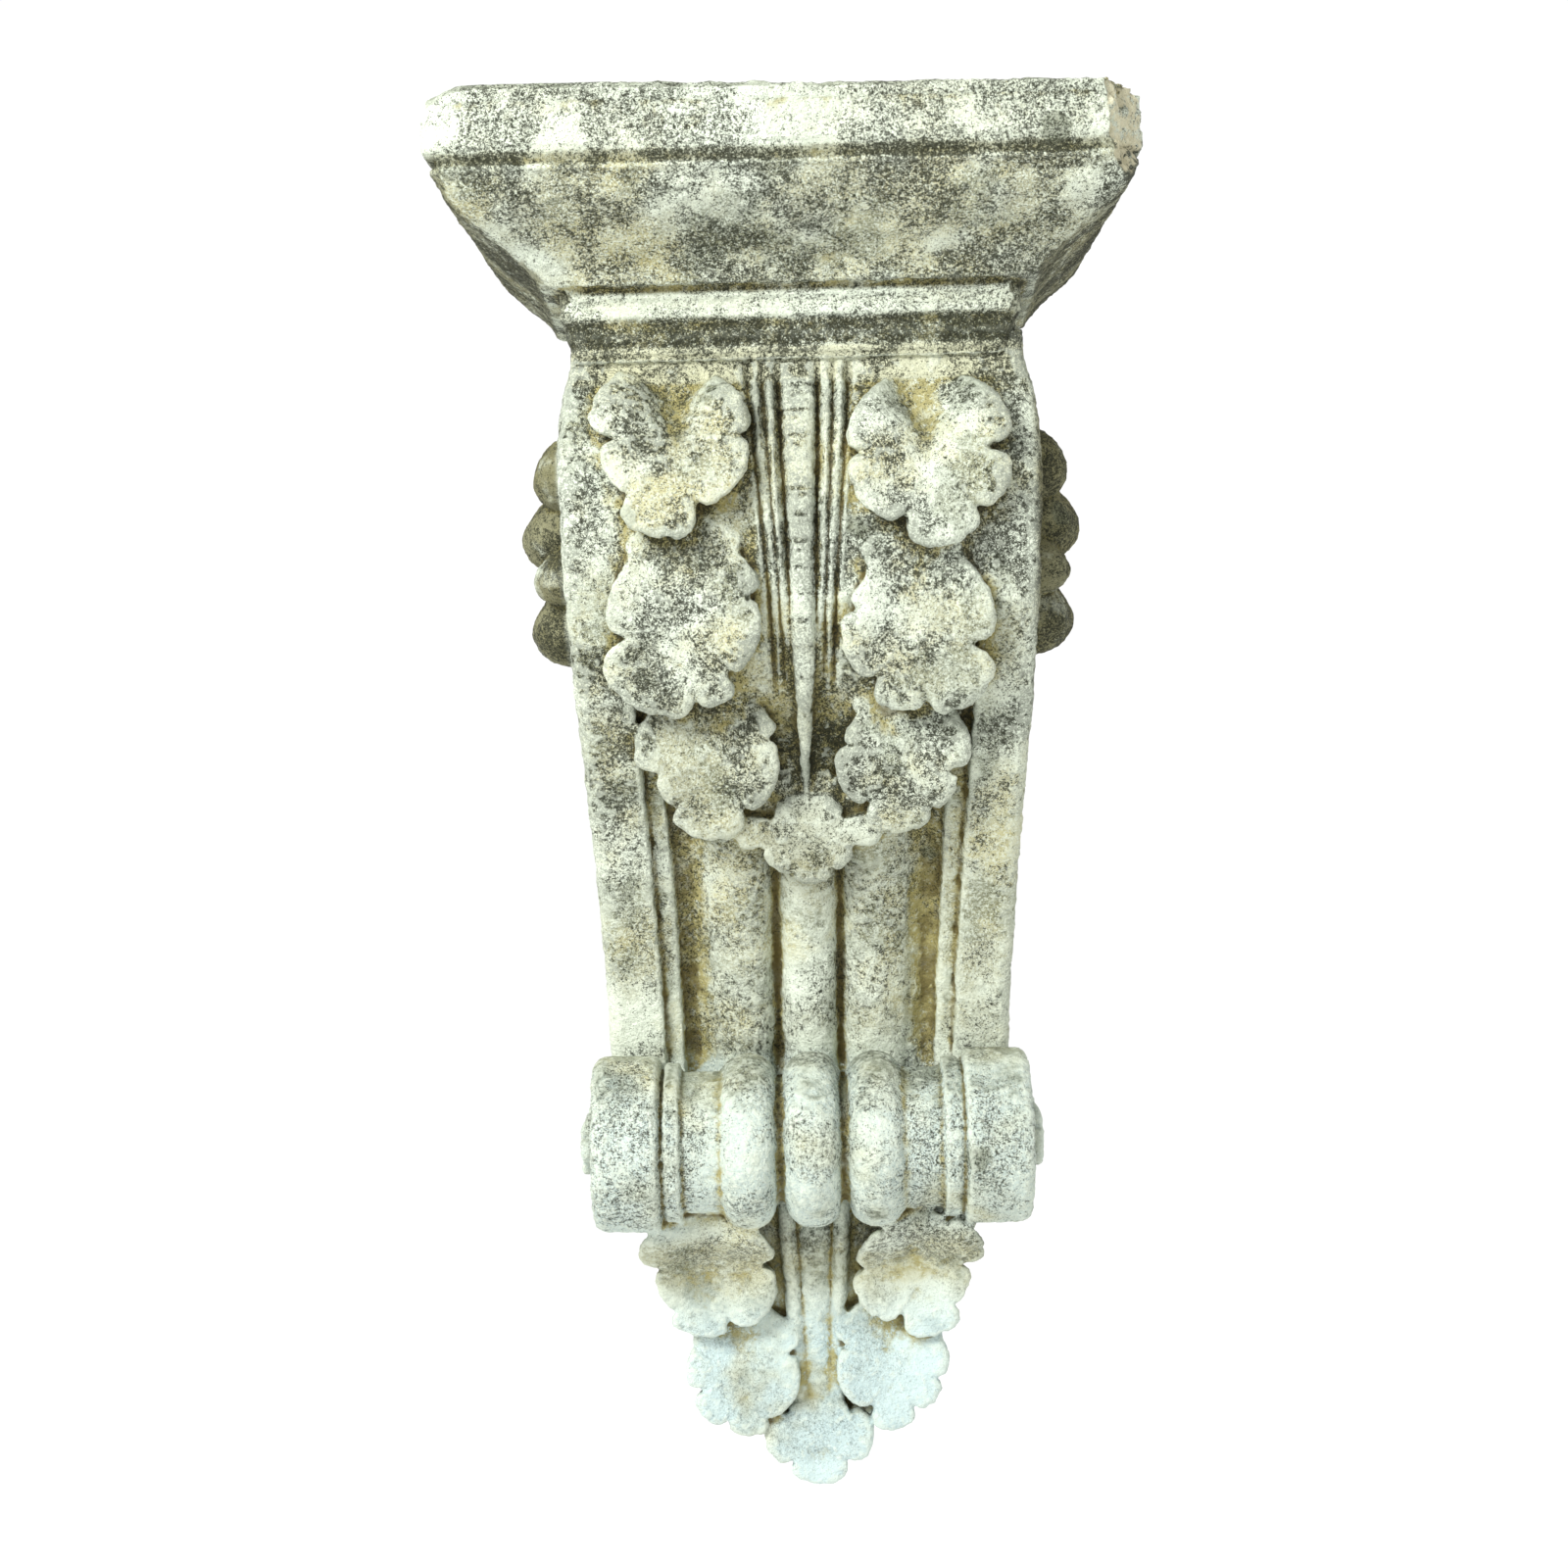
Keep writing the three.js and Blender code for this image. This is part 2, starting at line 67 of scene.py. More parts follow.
# A smooth curve through knots (place, value), flat beyond its ends
def smoothThrough(*knots):
    at, value = np.array(knots, float).T
    slope = np.gradient(value, at, edge_order=1)
    slope[1:-1] = (value[2:] - value[:-2]) / (at[2:] - at[:-2])

    def curve(t):
        t = np.clip(t, at[0], at[-1])
        i = np.clip(np.searchsorted(at, t), 1, len(at) - 1)
        gap = at[i] - at[i - 1]
        s = (t - at[i - 1]) / gap
        far = s * s * (3 - 2 * s)
        bend = s * (1 - s) ** 2 * gap * slope[i - 1] + s * s * (s - 1) * gap * slope[i]
        return value[i - 1] + (value[i] - value[i - 1]) * far + bend

    return curve


bulgeShare = smoothThrough((0, .82), (.055, .92), (.17, 1), (.31, .95), (.46, .77), (.65, .44),
                           (.83, .15), (.935, .045), (1, 0))
tailShare = smoothThrough((1, 1), (1.25, .95), (1.45, .86), (1.65, .72), (1.85, .6), (2, .5))
widthShare = smoothThrough((0, .94), (.055, .987), (.17, 1), (.46, .967), (.65, .936), (.88, .905),
                           (1, .893), (1.2, .86), (1.37, .77), (1.5, .66), (1.7, .44), (1.85, .26), (2, .08))


# Shares down the block: 0 under the cap, 1 at the crease above the roll, 2 at the tip
def shareOf(z):
    up = (block["shaftTop"] - z) / (block["shaftTop"] - block["crease"])
    return np.where(z > block["crease"], up, 1 + (block["crease"] - z) / (block["crease"] - block["tip"]))


def heightOf(t):
    down = block["shaftTop"] - t * (block["shaftTop"] - block["crease"])
    return np.where(t <= 1, down, block["crease"] - (t - 1) * (block["crease"] - block["tip"]))


def frontAt(z):
    t = shareOf(z)
    upper = block["waist"] + (block["bulge"] - block["waist"]) * bulgeShare(t)
    return np.where(t <= 1, upper, block["waist"] * tailShare(t))


def halfAt(z):
    return block["halfWidth"] * widthShare(shareOf(z))


# How far the block leans to one side at a height
def leanAt(z):
    return block["lean"] * ease(*block["leanBetween"], z)


def clearSelection():
    if bpy.context.object and bpy.context.object.mode != "OBJECT":
        bpy.ops.object.mode_set(mode="OBJECT")
    bpy.ops.object.select_all(action="DESELECT")


def pickOnly(piece):
    clearSelection()
    piece.select_set(True)
    bpy.context.view_layer.objects.active = piece


def pointsOf(piece):
    spots = np.empty(len(piece.data.vertices) * 3)
    piece.data.vertices.foreach_get("co", spots)
    return spots.reshape(-1, 3) / mm


def movePoints(piece, spots):
    piece.data.vertices.foreach_set("co", (spots * mm).ravel())
    piece.data.update()


def closeUp(piece):
    pickOnly(piece)
    bpy.ops.object.mode_set(mode="EDIT")
    bpy.ops.mesh.select_all(action="SELECT")
    bpy.ops.mesh.remove_doubles(threshold=0.02 * mm)
    bpy.ops.mesh.select_all(action="SELECT")
    bpy.ops.mesh.fill_holes(sides=0)
    bpy.ops.mesh.select_all(action="SELECT")
    bpy.ops.mesh.normals_make_consistent(inside=False)
    bpy.ops.object.mode_set(mode="OBJECT")


# A grid rolled into a tube: placeOf gets which point about it, and the share of its length
def rolledGrid(name, around, rows, placeOf):
    clearSelection()
    bpy.ops.mesh.primitive_grid_add(x_subdivisions=around, y_subdivisions=rows, size=1)
    piece = bpy.context.object
    piece.name = name
    flat = pointsOf(piece) * mm + 0.5
    movePoints(piece, placeOf(np.round(flat[:, 0] * around) % around, flat[:, 1]))
    closeUp(piece)
    return piece


# The cap: a plane drawn down ring by ring, so that its mouldings return round both corners.
# Each ring is (how far below the top, half width, share of the flare)
cap = {
    "frontExtra": 100,
    "flare": 9,
    "cornerRadius": 7,
    "ogeeTop": 38.5,
    "ogeeHeight": 55.5,
    "ogeeHalf": (183, 48),
    "ogeeSteps": 14,
    "ogeeCurve": (.12, 1.05),
    "flareCurve": (.1, .7),
    "bandRings": [(0, 187, 0), (1, 189, 0), (3, 190, 0), (28, 190, 0), (32, 189.5, 0), (34, 188, 0),
                  (35, 182.5, 0), (36.4, 180, 0), (38, 182.5, 0), (39.5, 187, 0), (43, 186, .02)],
    "footRings": [(95.4, 128, .9), (96.6, 122.5, .8), (97.8, 123.5, .6), (99, 125.5, .4), (111.6, 125.5, .3),
                  (113, 124, .3), (114, 121.2, .2), (115.5, 121.6, .2), (118, 122.6, .1), (121.4, 122.4, 0),
                  (125, 121, 0), (127, 118.8, 0), (128.4, 120.4, 0), (137.5, 121, 0)],
}


def capRings():
    wide, drawnIn = cap["ogeeHalf"]
    rings = list(cap["bandRings"])
    for s in np.linspace(0.1, 1, cap["ogeeSteps"]):
        half = wide - drawnIn * float(ease(*cap["ogeeCurve"], s))
        rings.append((cap["ogeeTop"] + cap["ogeeHeight"] * s, half, float(ease(*cap["flareCurve"], s))))
    return rings + cap["footRings"]


def carveCap():
    rings = capRings()
    down, half, flare = rings[0]
    clearSelection()
    front = half + cap["frontExtra"]
    bpy.ops.mesh.primitive_plane_add(size=1, location=(0, -front / 2 * mm, (block["top"] - down) * mm))
    piece = bpy.context.object
    piece.name = "capBlock"
    bpy.ops.object.mode_set(mode="EDIT")
    bpy.ops.mesh.select_all(action="SELECT")
    bpy.ops.transform.resize(value=(2 * half * mm, front * mm, 1), center_override=(0, -front / 2 * mm, 0))
    for nextDown, nextHalf, nextFlare in rings[1:]:
        bpy.ops.mesh.extrude_region_move(TRANSFORM_OT_translate={"value": (0, 0, (down - nextDown) * mm)})
        nextFront = nextHalf + cap["frontExtra"]
        bpy.ops.transform.resize(value=(nextHalf / half, nextFront / front, 1), center_override=(0, 0, 0))
        down, half, front = nextDown, nextHalf, nextFront
    bpy.ops.object.mode_set(mode="OBJECT")
    pickOnly(piece)
    bpy.ops.object.transform_apply(location=True, rotation=True, scale=True)
    spots = pointsOf(piece)
    flares = np.interp(block["top"] - spots[:, 2], [r[0] for r in rings], [r[2] for r in rings])
    spots[:, 0] += np.sign(spots[:, 0]) * np.where(spots[:, 1] > -1, flares * cap["flare"], 0)
    movePoints(piece, spots)
    # Round the two upright front corners
    bpy.ops.object.mode_set(mode="EDIT")
    bpy.ops.mesh.select_all(action="DESELECT")
    bpy.ops.object.mode_set(mode="OBJECT")
    for edge in piece.data.edges:
        a, b = [piece.data.vertices[i].co for i in edge.vertices]
        edge.select = abs(a.z - b.z) > 0.0001 and a.y < -0.05 and b.y < -0.05 and a.x * b.x > 0
    bpy.ops.object.mode_set(mode="EDIT")
    bpy.ops.mesh.select_mode(type="EDGE")
    bpy.ops.mesh.bevel(offset=cap["cornerRadius"] * mm, segments=4)
    bpy.ops.mesh.select_mode(type="VERT")
    bpy.ops.object.mode_set(mode="OBJECT")
    closeUp(piece)
    return piece


# The front of the shaft, across from the axis outwards: a bead is (middle, half width, depth of its crown), and
# the rest are shares of the panel's width or of the sink
panel = {
    "centreBead": (0, 16, .1),
    "sideBead": (37.5, 16.5, .12),
    "sideSlope": 29,
    "beadPower": 2.2,
    "beadDrop": .9,
    "groove": 1.06,
    "hollow": (.66, .87),
    "hollowDepth": .14,
    "fillet": (.875, .975, .42),
}


# Depth below the bands, as a share of the sink, at x mm from the axis where the panel is inner mm wide
def panelDepth(x, inner, sideSlope=panel["sideSlope"]):
    depth = np.full_like(x, panel["groove"])
    for middle, half, crown in (panel["centreBead"], panel["sideBead"]):
        reach = np.where(x > middle, sideSlope, half) if middle else half
        off = np.clip(np.abs(x - middle) / reach, 0, 1)
        full = 1 - np.sqrt(np.clip(1 - off ** panel["beadPower"], 0, 1))
        gentle = (x > middle) & (middle > 0) & (sideSlope > half + 5)
        bead = crown + panel["beadDrop"] * np.where(gentle, off ** 2 * (1.6 - .6 * off), full)
        depth = np.minimum(depth, np.where(off < 1, bead, 9))
    share = x / inner
    low, high = panel["hollow"]
    cup = 1 + panel["hollowDepth"] * np.sin(np.pi * np.clip((share - low) / (high - low), 0, 1))
    depth = np.where((share > low) & (share < high), np.minimum(cup, depth + .1), depth)
    low, high, level = panel["fillet"]
    return np.where((share >= low) & (share <= high), level, depth)


# The plan section, with lengths in mm above and below the crease, and the shares down the block where things
# begin and end
section = {
    "halfPoints": 112,
    "edgePoints": 12,
    "chamfer": (1.5, 5),
    "ribbon": (15, 6),
    "border": (14, 6),
    "belly": .25,
    "crown": .8,
    "neckOut": 13,
    "neckEnds": (.05, -.01),
    "chamferEnds": (1.1, 1.4),
    "bellyStarts": (1.2, 1.5),
    "sideStarts": (0, .1),
    "sideEnds": (.9, 1.02),
    "edgesNarrow": (1, 1.5),
    "panelStarts": (.3, .6),
    "beadsStart": (.5, .66),
    "panelEnds": (1.1, 1.35),
}


def sectionShare(name, t):
    return float(ease(*section[name], t))


# Half of the plan section from the middle of the front out to the wall, as (x, projection)
def halfSection(z, count):
    t = float(shareOf(z))
    half, front = float(halfAt(z)), float(frontAt(z))
    small, large = section["chamfer"]
    chamfer = large * (1 - sectionShare("chamferEnds", t)) + small
    belly = sectionShare("bellyStarts", t) * section["belly"] * half
    sideSink = block["sideSink"] * sectionShare("sideStarts", t) * (1 - sectionShare("sideEnds", t)) + .05
    narrow = sectionShare("edgesNarrow", t)
    ribbon, border = [wide * (1 - narrow) + thin * narrow for wide, thin in (section["ribbon"], section["border"])]
    inner = half - block["band"]
    ending = 1 - sectionShare("panelEnds", t)
    sink = block["sink"] * sectionShare("panelStarts", t) * ending
    beads = sectionShare("beadsStart", t) * ending
    front += section["neckOut"] * sectionShare("neckEnds", t)
    x = np.linspace(0, inner - .8, count - section["edgePoints"])
    depth = sink * ((1 - beads) * .8 + beads * panelDepth(x, inner))
    face = front - depth - belly * section["crown"] * (x / inner) ** 2
    rim = front - belly * section["crown"]
    outX = [inner - .2, inner + .6, half - chamfer, half - chamfer * .3, half, half, half, half - sideSink,
            half - sideSink, half, half, half]
    outP = [rim - sink, rim, rim, rim - chamfer * .3, front - belly - chamfer, front - belly - ribbon * .6,
            front - belly - ribbon, front - belly - ribbon - 2, border + 2, border, border * .5, 0]
    return np.concatenate([x, outX]), np.concatenate([face, outP])


def carveShaft(name, fromShare, toShare, rows):
    count = section["halfPoints"]
    around = 2 * count - 1

    def placeOf(step, along):
        spots = np.empty((len(step), 3))
        for v in np.unique(np.round(along * rows)):
            z = float(heightOf(fromShare + (toShare - fromShare) * v / rows))
            x, p = halfSection(z, count)
            loopX, loopP = np.concatenate([x, -x[:0:-1]]), np.concatenate([p, p[:0:-1]])
            here = np.round(along * rows) == v
            k = step[here].astype(int)
            spots[here] = np.stack([loopX[k], -loopP[k], np.full(len(k), z)], 1)
        return spots

    return rolledGrid(name, around, rows, placeOf)


# Leaves. Each lobe is (bearing where it starts, reach of the notch there, reach of the lobe), with
# bearings in degrees from straight down, positive away from the axis, and reaches as shares of the size
leafForm = {
    "rise": 17,
    "edge": 9,
    "bury": 24,
    "valleyDepth": 1,
    "valleyWidth": (.12, .4),
    "creaseDepth": .12,
    "creaseWidth": .03,
    "puff": .03,
    "segments": 144,
    "rings": 40,
    # From the crown to the back of a leaf: shares of the reach, and of the drop at the edge
    "reachDown": ([0, .62, .68, .72, .78, .86, 1], [0, .955, .99, 1, .985, .94, 0]),
    "dropDown": ([0, .55, .62, .68, .72, .78, .86, 1], [0, 0, .03, .13, .34, .8, 1.3, 1.3]),
    "lobePower": 3.2,
    "dentPlaces": ((.24, .42), (.58, .76)),
    "dentDepth": (.02, .14),
    "dentWidth": .05,
    "notchDepth": .1,
    "notchWidth": .05,
    "notchBelow": .95,
    # How much of the rise is left at the top of a leaf, of a leaf with horns, and at a leaf's middle, and between
    # which places it comes back
    "topRise": .22,
    "topRun": (1, -.2),
    "hornRise": .62,
    "hornRun": (1.05, .3),
    "middleRise": .8,
    "middleRun": (.25, .93),
    "domeRise": .72,
    "domeRun": (.9, -.5),
    "backFrom": .86,
    "dipRun": (-.1, .8),
}

# A leaf is (x, z, size, share of the rise, its lobes)
frontLeaves = {
    "topLeft": (-66, 217, 50, 1.12, [(-16, .70, 1.08), (44, .80, .84), (93, .60, 1.02), (158, 1.0, 1.02),
                                     (202, .92, .86), (266, .68, .82)]),
    "topRight": (68, 208, 50, 1.08, [(-19, .66, 1.04), (41, .80, .96), (92, .56, 1.0), (156, 1.02, 1.06),
                                     (204, 1.0, .9), (270, .72, .9)]),
    "middleLeft": (-62.3, 120, 50, 1, [(-36, .66, .96), (-4, .86, 1.12), (77, .62, .9), (140, 1.0, 1.15),
                                       (215, 1.05, .9), (249, .74, .8)]),
    "middleRight": (58, 114, 50, 1, [(-34, .54, .92), (13, .82, 1.10), (74, .62, .94), (145, 1.02, 1.12),
                                     (215, .9, .72), (250, .58, .78)]),
    "lowLeft": (-49.3, 42.5, 46, .95, [(-27, .63, .98), (45, .74, .80), (80, .58, 1.04), (145, 1.0, 1.05),
                                       (215, .95, .84), (246, .7, .77)]),
    "lowRight": (49, 42, 44, .95, [(-30, .62, .98), (37, .82, .90), (77, .6, 1.0), (140, .95, 1.05),
                                   (220, .8, .7), (252, .6, .76)]),
}
bedLeaf = (0, 16, 46, .1, [(-45, .5, .5), (45, .8, 1), (135, .5, .5), (225, .8, 1)])
endLeaf = (1, 3, 43, .8, [(-20, .62, .76), (28, .60, .70), (68, .55, .98), (106, .55, .5), (254, .55, .98),
                          (292, .56, .72)])
pendantLeaves = {
    "hangLeft": (-62, -261, 42, 1, [(-19, .73, .96), (44, .81, .78), (98, .66, 1.08), (150, 1, 1), (215, 1.04, 1),
                                    (260, .66, .98)]),
    "hangRight": (59, -261, 42, 1, [(-16, .64, 1.05), (45, .82, .79), (94, .55, 1.05), (150, .95, .95),
                                    (215, .90, .86), (268, .67, .93)]),
    "lowHangLeft": (-42, -326, 37, .9, [(-22, .84, 1.04), (24, .8, 1.0), (74, .6, 1.0), (120, 1.0, 1.1),
                                        (200, 1.15, 1.1), (243, .75, .86)]),
    "lowHangRight": (42, -322, 37, .9, [(-21, .72, 1.1), (30, .76, .98), (75, .66, .98), (120, 1.0, 1.1),
                                        (200, 1.15, 1.1), (243, .78, .86)]),
}
tipLeaf = (0, -365, 32, .8, [(-45, .62, 1), (45, .62, 1.02), (125, .8, .74), (235, .8, 1.02)])

# The sprig on each side: each lobe is (share down, share forward, size, share of the rise)
sideSprig = {
    "lobes": [(.142, .70, 21, .86), (.221, .57, 24, 1.18), (.288, .69, 17, .95), (.357, .56, 24, 1.13)],
    "outline": [(-45, .96, 1), (45, .96, 1), (135, .96, .98), (225, .96, .98)],
    "rise": 32,
    "edge": 12,
    "bury": 6,
    "widen": 1.6,
}


# Reach at each bearing, how far through its lobe that is, and the angle to the nearest notch
def lobesAt(bearing, lobes, draw):
    start = np.array([lobe[0] for lobe in lobes], float)
    notch = np.array([lobe[1] for lobe in lobes])
    peak = np.array([lobe[2] for lobe in lobes])
    end = np.append(start[1:], start[0] + 360)
    b = (bearing - start[0]) % 360 + start[0]
    i = np.clip(np.searchsorted(start, b, side="right") - 1, 0, len(lobes) - 1)
    s = (b - start[i]) / (end[i] - start[i])
    base = notch[i] + (np.roll(notch, -1)[i] - notch[i]) * s
    swell = np.sqrt(np.clip(1 - np.abs(2 * s - 1) ** leafForm["lobePower"], 0, 1))
    for low, high in leafForm["dentPlaces"]:
        dent = draw.uniform(*leafForm["dentDepth"], len(lobes))[i]
        place = draw.uniform(low, high, len(lobes))[i]
        swell = swell - dent * np.exp(-((s - place) / leafForm["dentWidth"]) ** 2)
    cut = leafForm["notchDepth"] * np.exp(-(np.minimum(s, 1 - s) / leafForm["notchWidth"]) ** 2)
    reach = base + (peak[i] - base) * swell - cut * (base < leafForm["notchBelow"])
    return reach, s, np.minimum(b - start[i], end[i] - b)


def risen(name, at):
    least = leafForm[name + "Rise"]
    return least + (1 - least) * ease(*leafForm[name + "Run"], at)


# A flattened ball pushed out into lobes: the upper rings are the face, the lower ones the undercut
def leafShell(name, lobes, size, rise, edge, bury, place, seed, hornShare=0, valleyShare=0, domed=0):
    clearSelection()
    bpy.ops.mesh.primitive_uv_sphere_add(segments=leafForm["segments"], ring_count=leafForm["rings"], radius=1)
    piece = bpy.context.object
    piece.name = name
    ball = pointsOf(piece) * mm
    bearing = np.degrees(np.arctan2(ball[:, 0], -ball[:, 1]))
    u = np.arccos(np.clip(ball[:, 2], -1, 1)) / np.pi
    draw = np.random.default_rng(seed)
    reach, s, gap = lobesAt(bearing, lobes, draw)
    share = np.interp(u, *leafForm["reachDown"])
    drop = np.interp(u, *leafForm["dropDown"]) * edge
    r = size * reach * share
    across, along = np.sin(np.radians(bearing)) * r, -np.cos(np.radians(bearing)) * r
    up = along / size
    wedge = risen("top", up)
    horns = risen("horn", up)
    free = wedge + (horns - wedge) * hornShare
    cup = risen("middle", share)
    dome = np.sqrt(np.clip(1 - share ** 2, 0, 1)) * risen("dome", up)
    crest = rise * (free * cup * (1 - domed) + (.25 + .75 * dome) * domed)
    crest += rise * leafForm["puff"] * np.sin(np.pi * s) * ease(.45, .85, share) * free
    lateral = np.radians(gap) * r
    crease = np.exp(-(lateral / (leafForm["creaseWidth"] * size)) ** 2) * ease(.6, .98, share)
    crest -= rise * leafForm["creaseDepth"] * crease * free
    narrow, wide = leafForm["valleyWidth"]
    spread = (narrow + (wide - narrow) * ease(-.1, .9, up)) * size
    valley = np.exp(-(across / spread) ** 2) * ease(-.3, .7, up)
    crest -= rise * leafForm["valleyDepth"] * valley * valleyShare
    height = crest - drop
    back = leafForm["backFrom"]
    height = np.where(u > back, np.minimum(height, -bury * ease(back, .9, u)), height)
    movePoints(piece, place(across, along, height))
    closeUp(piece)
    return piece


# The top of a leaf may dip, so that it dies into a sunk panel, or lean forward where dip is below 0
def frontLeafShell(name, leaf, seed, hornShare=0, valleyShare=0, dip=0):
    centreX, centreZ, size, rise, lobes = leaf
    side = -1 if centreX < 0 else 1

    def place(across, along, height):
        z = centreZ + along
        height = height - dip * ease(*leafForm["dipRun"], along / size)
        return np.stack([centreX + side * across, -(frontAt(z) + height), z], 1)

    return leafShell(name, lobes, size, leafForm["rise"] * rise, leafForm["edge"], leafForm["bury"], place, seed,
                     hornShare, valleyShare)


def sideLeafShell(name, leaf, side, seed):
    down, forward, size, rise = leaf
    centreZ = float(heightOf(down))
    centreP = forward * float(frontAt(centreZ))

    def place(across, along, height):
        z = centreZ + along
        x = halfAt(z) - block["sideSink"] + height
        return np.stack([side * x, -(centreP + sideSprig["widen"] * across), z], 1)

    return leafShell(name, sideSprig["outline"], size, sideSprig["rise"] * rise, sideSprig["edge"], sideSprig["bury"],
                     place, seed, domed=1)


# The lower roll: a ring of points set on the section and spun about the roll's axis
roll = {
    "radius": 50.5,
    "half": 126,
    "z": -180,
    "p": 115,
    "steps": 132,
    "inset": 6,
    "points": 130,
    "beadSlope": 15.5,
    "floor": .72,
    "floorFall": .12,
}


def rollProfile():
    inner, radius = roll["half"] - block["band"] - roll["inset"], roll["radius"]
    x = np.linspace(0, inner, roll["points"])
    depth = panelDepth(x, inner, roll["beadSlope"])
    floor = roll["floor"] + roll["floorFall"] * (x / inner - .6)
    depth = np.where(x > panel["sideBead"][0], np.minimum(depth, floor), depth)
    r = radius - block["sink"] * np.clip(depth - .1, 0, None)
    outX = [inner + 1.5, inner + 3, roll["half"] - 6, roll["half"] - 2, roll["half"], roll["half"],
            roll["half"] - block["sideSink"], roll["half"] - block["sideSink"]]
    outR = [radius - 1, radius, radius, radius - 1.6, radius - 5, radius - 16, radius - 18, 0]
    return np.concatenate([x, outX]), np.concatenate([r, outR])


def carveRoll():
    x, r = rollProfile()
    x, r = np.concatenate([-x[:0:-1], x]), np.concatenate([r[:0:-1], r])
    clearSelection()
    bpy.ops.mesh.primitive_circle_add(vertices=len(x), radius=1, fill_type="NOTHING")
    piece = bpy.context.object
    piece.name = "rollBlock"
    movePoints(piece, np.stack([x, np.full(len(x), -roll["p"]), roll["z"] + r], 1))
    bpy.ops.object.mode_set(mode="EDIT")
    bpy.ops.mesh.select_all(action="SELECT")
    middle = (0, -roll["p"] * mm, roll["z"] * mm)
    bpy.ops.mesh.spin(steps=roll["steps"], angle=math.tau, center=middle, axis=(1, 0, 0))
    bpy.ops.object.mode_set(mode="OBJECT")
    closeUp(piece)
    return piece


# A strip's profile: across as a share of its half width, up as a share of its height, or mm where below 0
stripProfile = [(-1, -16), (-1, .35), (-.75, .78), (-.4, .97), (0, 1.05), (.4, .97), (.75, .78), (1, .35), (1, -16)]


# Raised strips along the front: stations are (x, z, half width, height, how far they have sunk)
def raisedStrip(name, stations, rows):
    line = np.array(stations, float)
    shape = np.array(stripProfile)

    def placeOf(step, along):
        at = along * (len(line) - 1)
        x, z, half, height, sunk = [np.interp(at, np.arange(len(line)), line[:, k]) for k in range(5)]
        k = step.astype(int)
        dx = shape[k, 0] * half
        h = np.where(shape[k, 1] < 0, shape[k, 1], shape[k, 1] * height)
        return np.stack([x + dx, -(frontAt(z) + h - sunk), z], 1)

    return rolledGrid(name, len(shape), rows, placeOf)


stem = {
    "husks": 11,
    "stepsPerHusk": 6,
    "huskHalf": (10.5, 4.5),
    "huskHeight": (6.5, 2),
    "huskWaist": .78,
    "huskRun": (.01, .4),
    "ribHalf": (7.5, 6.5),
    "ribHeight": 4.5,
    "ribRun": (.28, .36),
    "stalkFrom": (16, 24),
    "stalkHalf": (3.2, .8),
    "stalkHeight": (5.5, 1.5),
    "stalkRun": (.01, .5),
    "stalkGather": .32,
    "stalkSink": 12,
}


# Height on the block at share s of a run that is (share down where it starts, how far it goes)
def heightAlong(run, s):
    return float(heightOf(run[0] + run[1] * s))


# A size (at the start, how much less at the end) at share s
def tapered(size, s):
    return size[0] - size[1] * s


def carveStems():
    husk = []
    steps = stem["husks"] * stem["stepsPerHusk"]
    for s in [i / steps for i in range(steps + 1)]:
        swell = stem["huskWaist"] + (1 - stem["huskWaist"]) * abs(math.sin(math.pi * s * stem["husks"])) ** .5
        fade = swell * (1 - float(ease(.78, 1, s)) * .9)
        husk.append((0, heightAlong(stem["huskRun"], s), tapered(stem["huskHalf"], s) * fade,
                     tapered(stem["huskHeight"], s) * fade, 4 * float(ease(.7, 1, s))))
    shells = [raisedStrip("huskChain", husk, 180)]
    rib = [(0, heightAlong(stem["ribRun"], s), tapered(stem["ribHalf"], s ** 1.3), stem["ribHeight"], 5 * s * s)
           for s in np.linspace(0, 1, 16)]
    shells.append(raisedStrip("lowRib", rib, 40))
    for side in (1, -1):
        for start in stem["stalkFrom"]:
            line = []
            for s in np.linspace(0, 1, 30):
                x = side * start * (1 - stem["stalkGather"] * float(ease(.1, 1, s)))
                fade = 1 - float(ease(.45, 1, s)) * .9
                line.append((x, heightAlong(stem["stalkRun"], s), tapered(stem["stalkHalf"], s) * fade,
                             tapered(stem["stalkHeight"], s) * fade, stem["stalkSink"] * float(ease(.5, 1, s))))
            shells.append(raisedStrip("stalk", line, 90))
    return shells


# The three stems of the hanging point: (x at the top, x at the foot, half width there, and there, height)
pendantStems = {
    "stems": [(0, 0, 9.5, 7.5, 7.5), (17.5, 10.5, 4.8, 4, 8.5), (-17.5, -10.5, 4.8, 4, 8.5)],
    "run": (1.33, .58),
}


def carvePendantStems():
    shells = []
    for start, end, wide, narrow, height in pendantStems["stems"]:
        line = [(start + (end - start) * float(ease(-.2, .9, s)), heightAlong(pendantStems["run"], s),
                 wide + (narrow - wide) * s, height * (1 - .5 * s), 0) for s in np.linspace(0, 1, 12)]
        shells.append(raisedStrip("pendantStem", line, 50))
    return shells


# The scroll line raised on each side of the bulge
spiral = {"radius": 68.8, "down": .182, "width": 11, "height": 6.4, "turn": (70, 400), "tighten": .45}


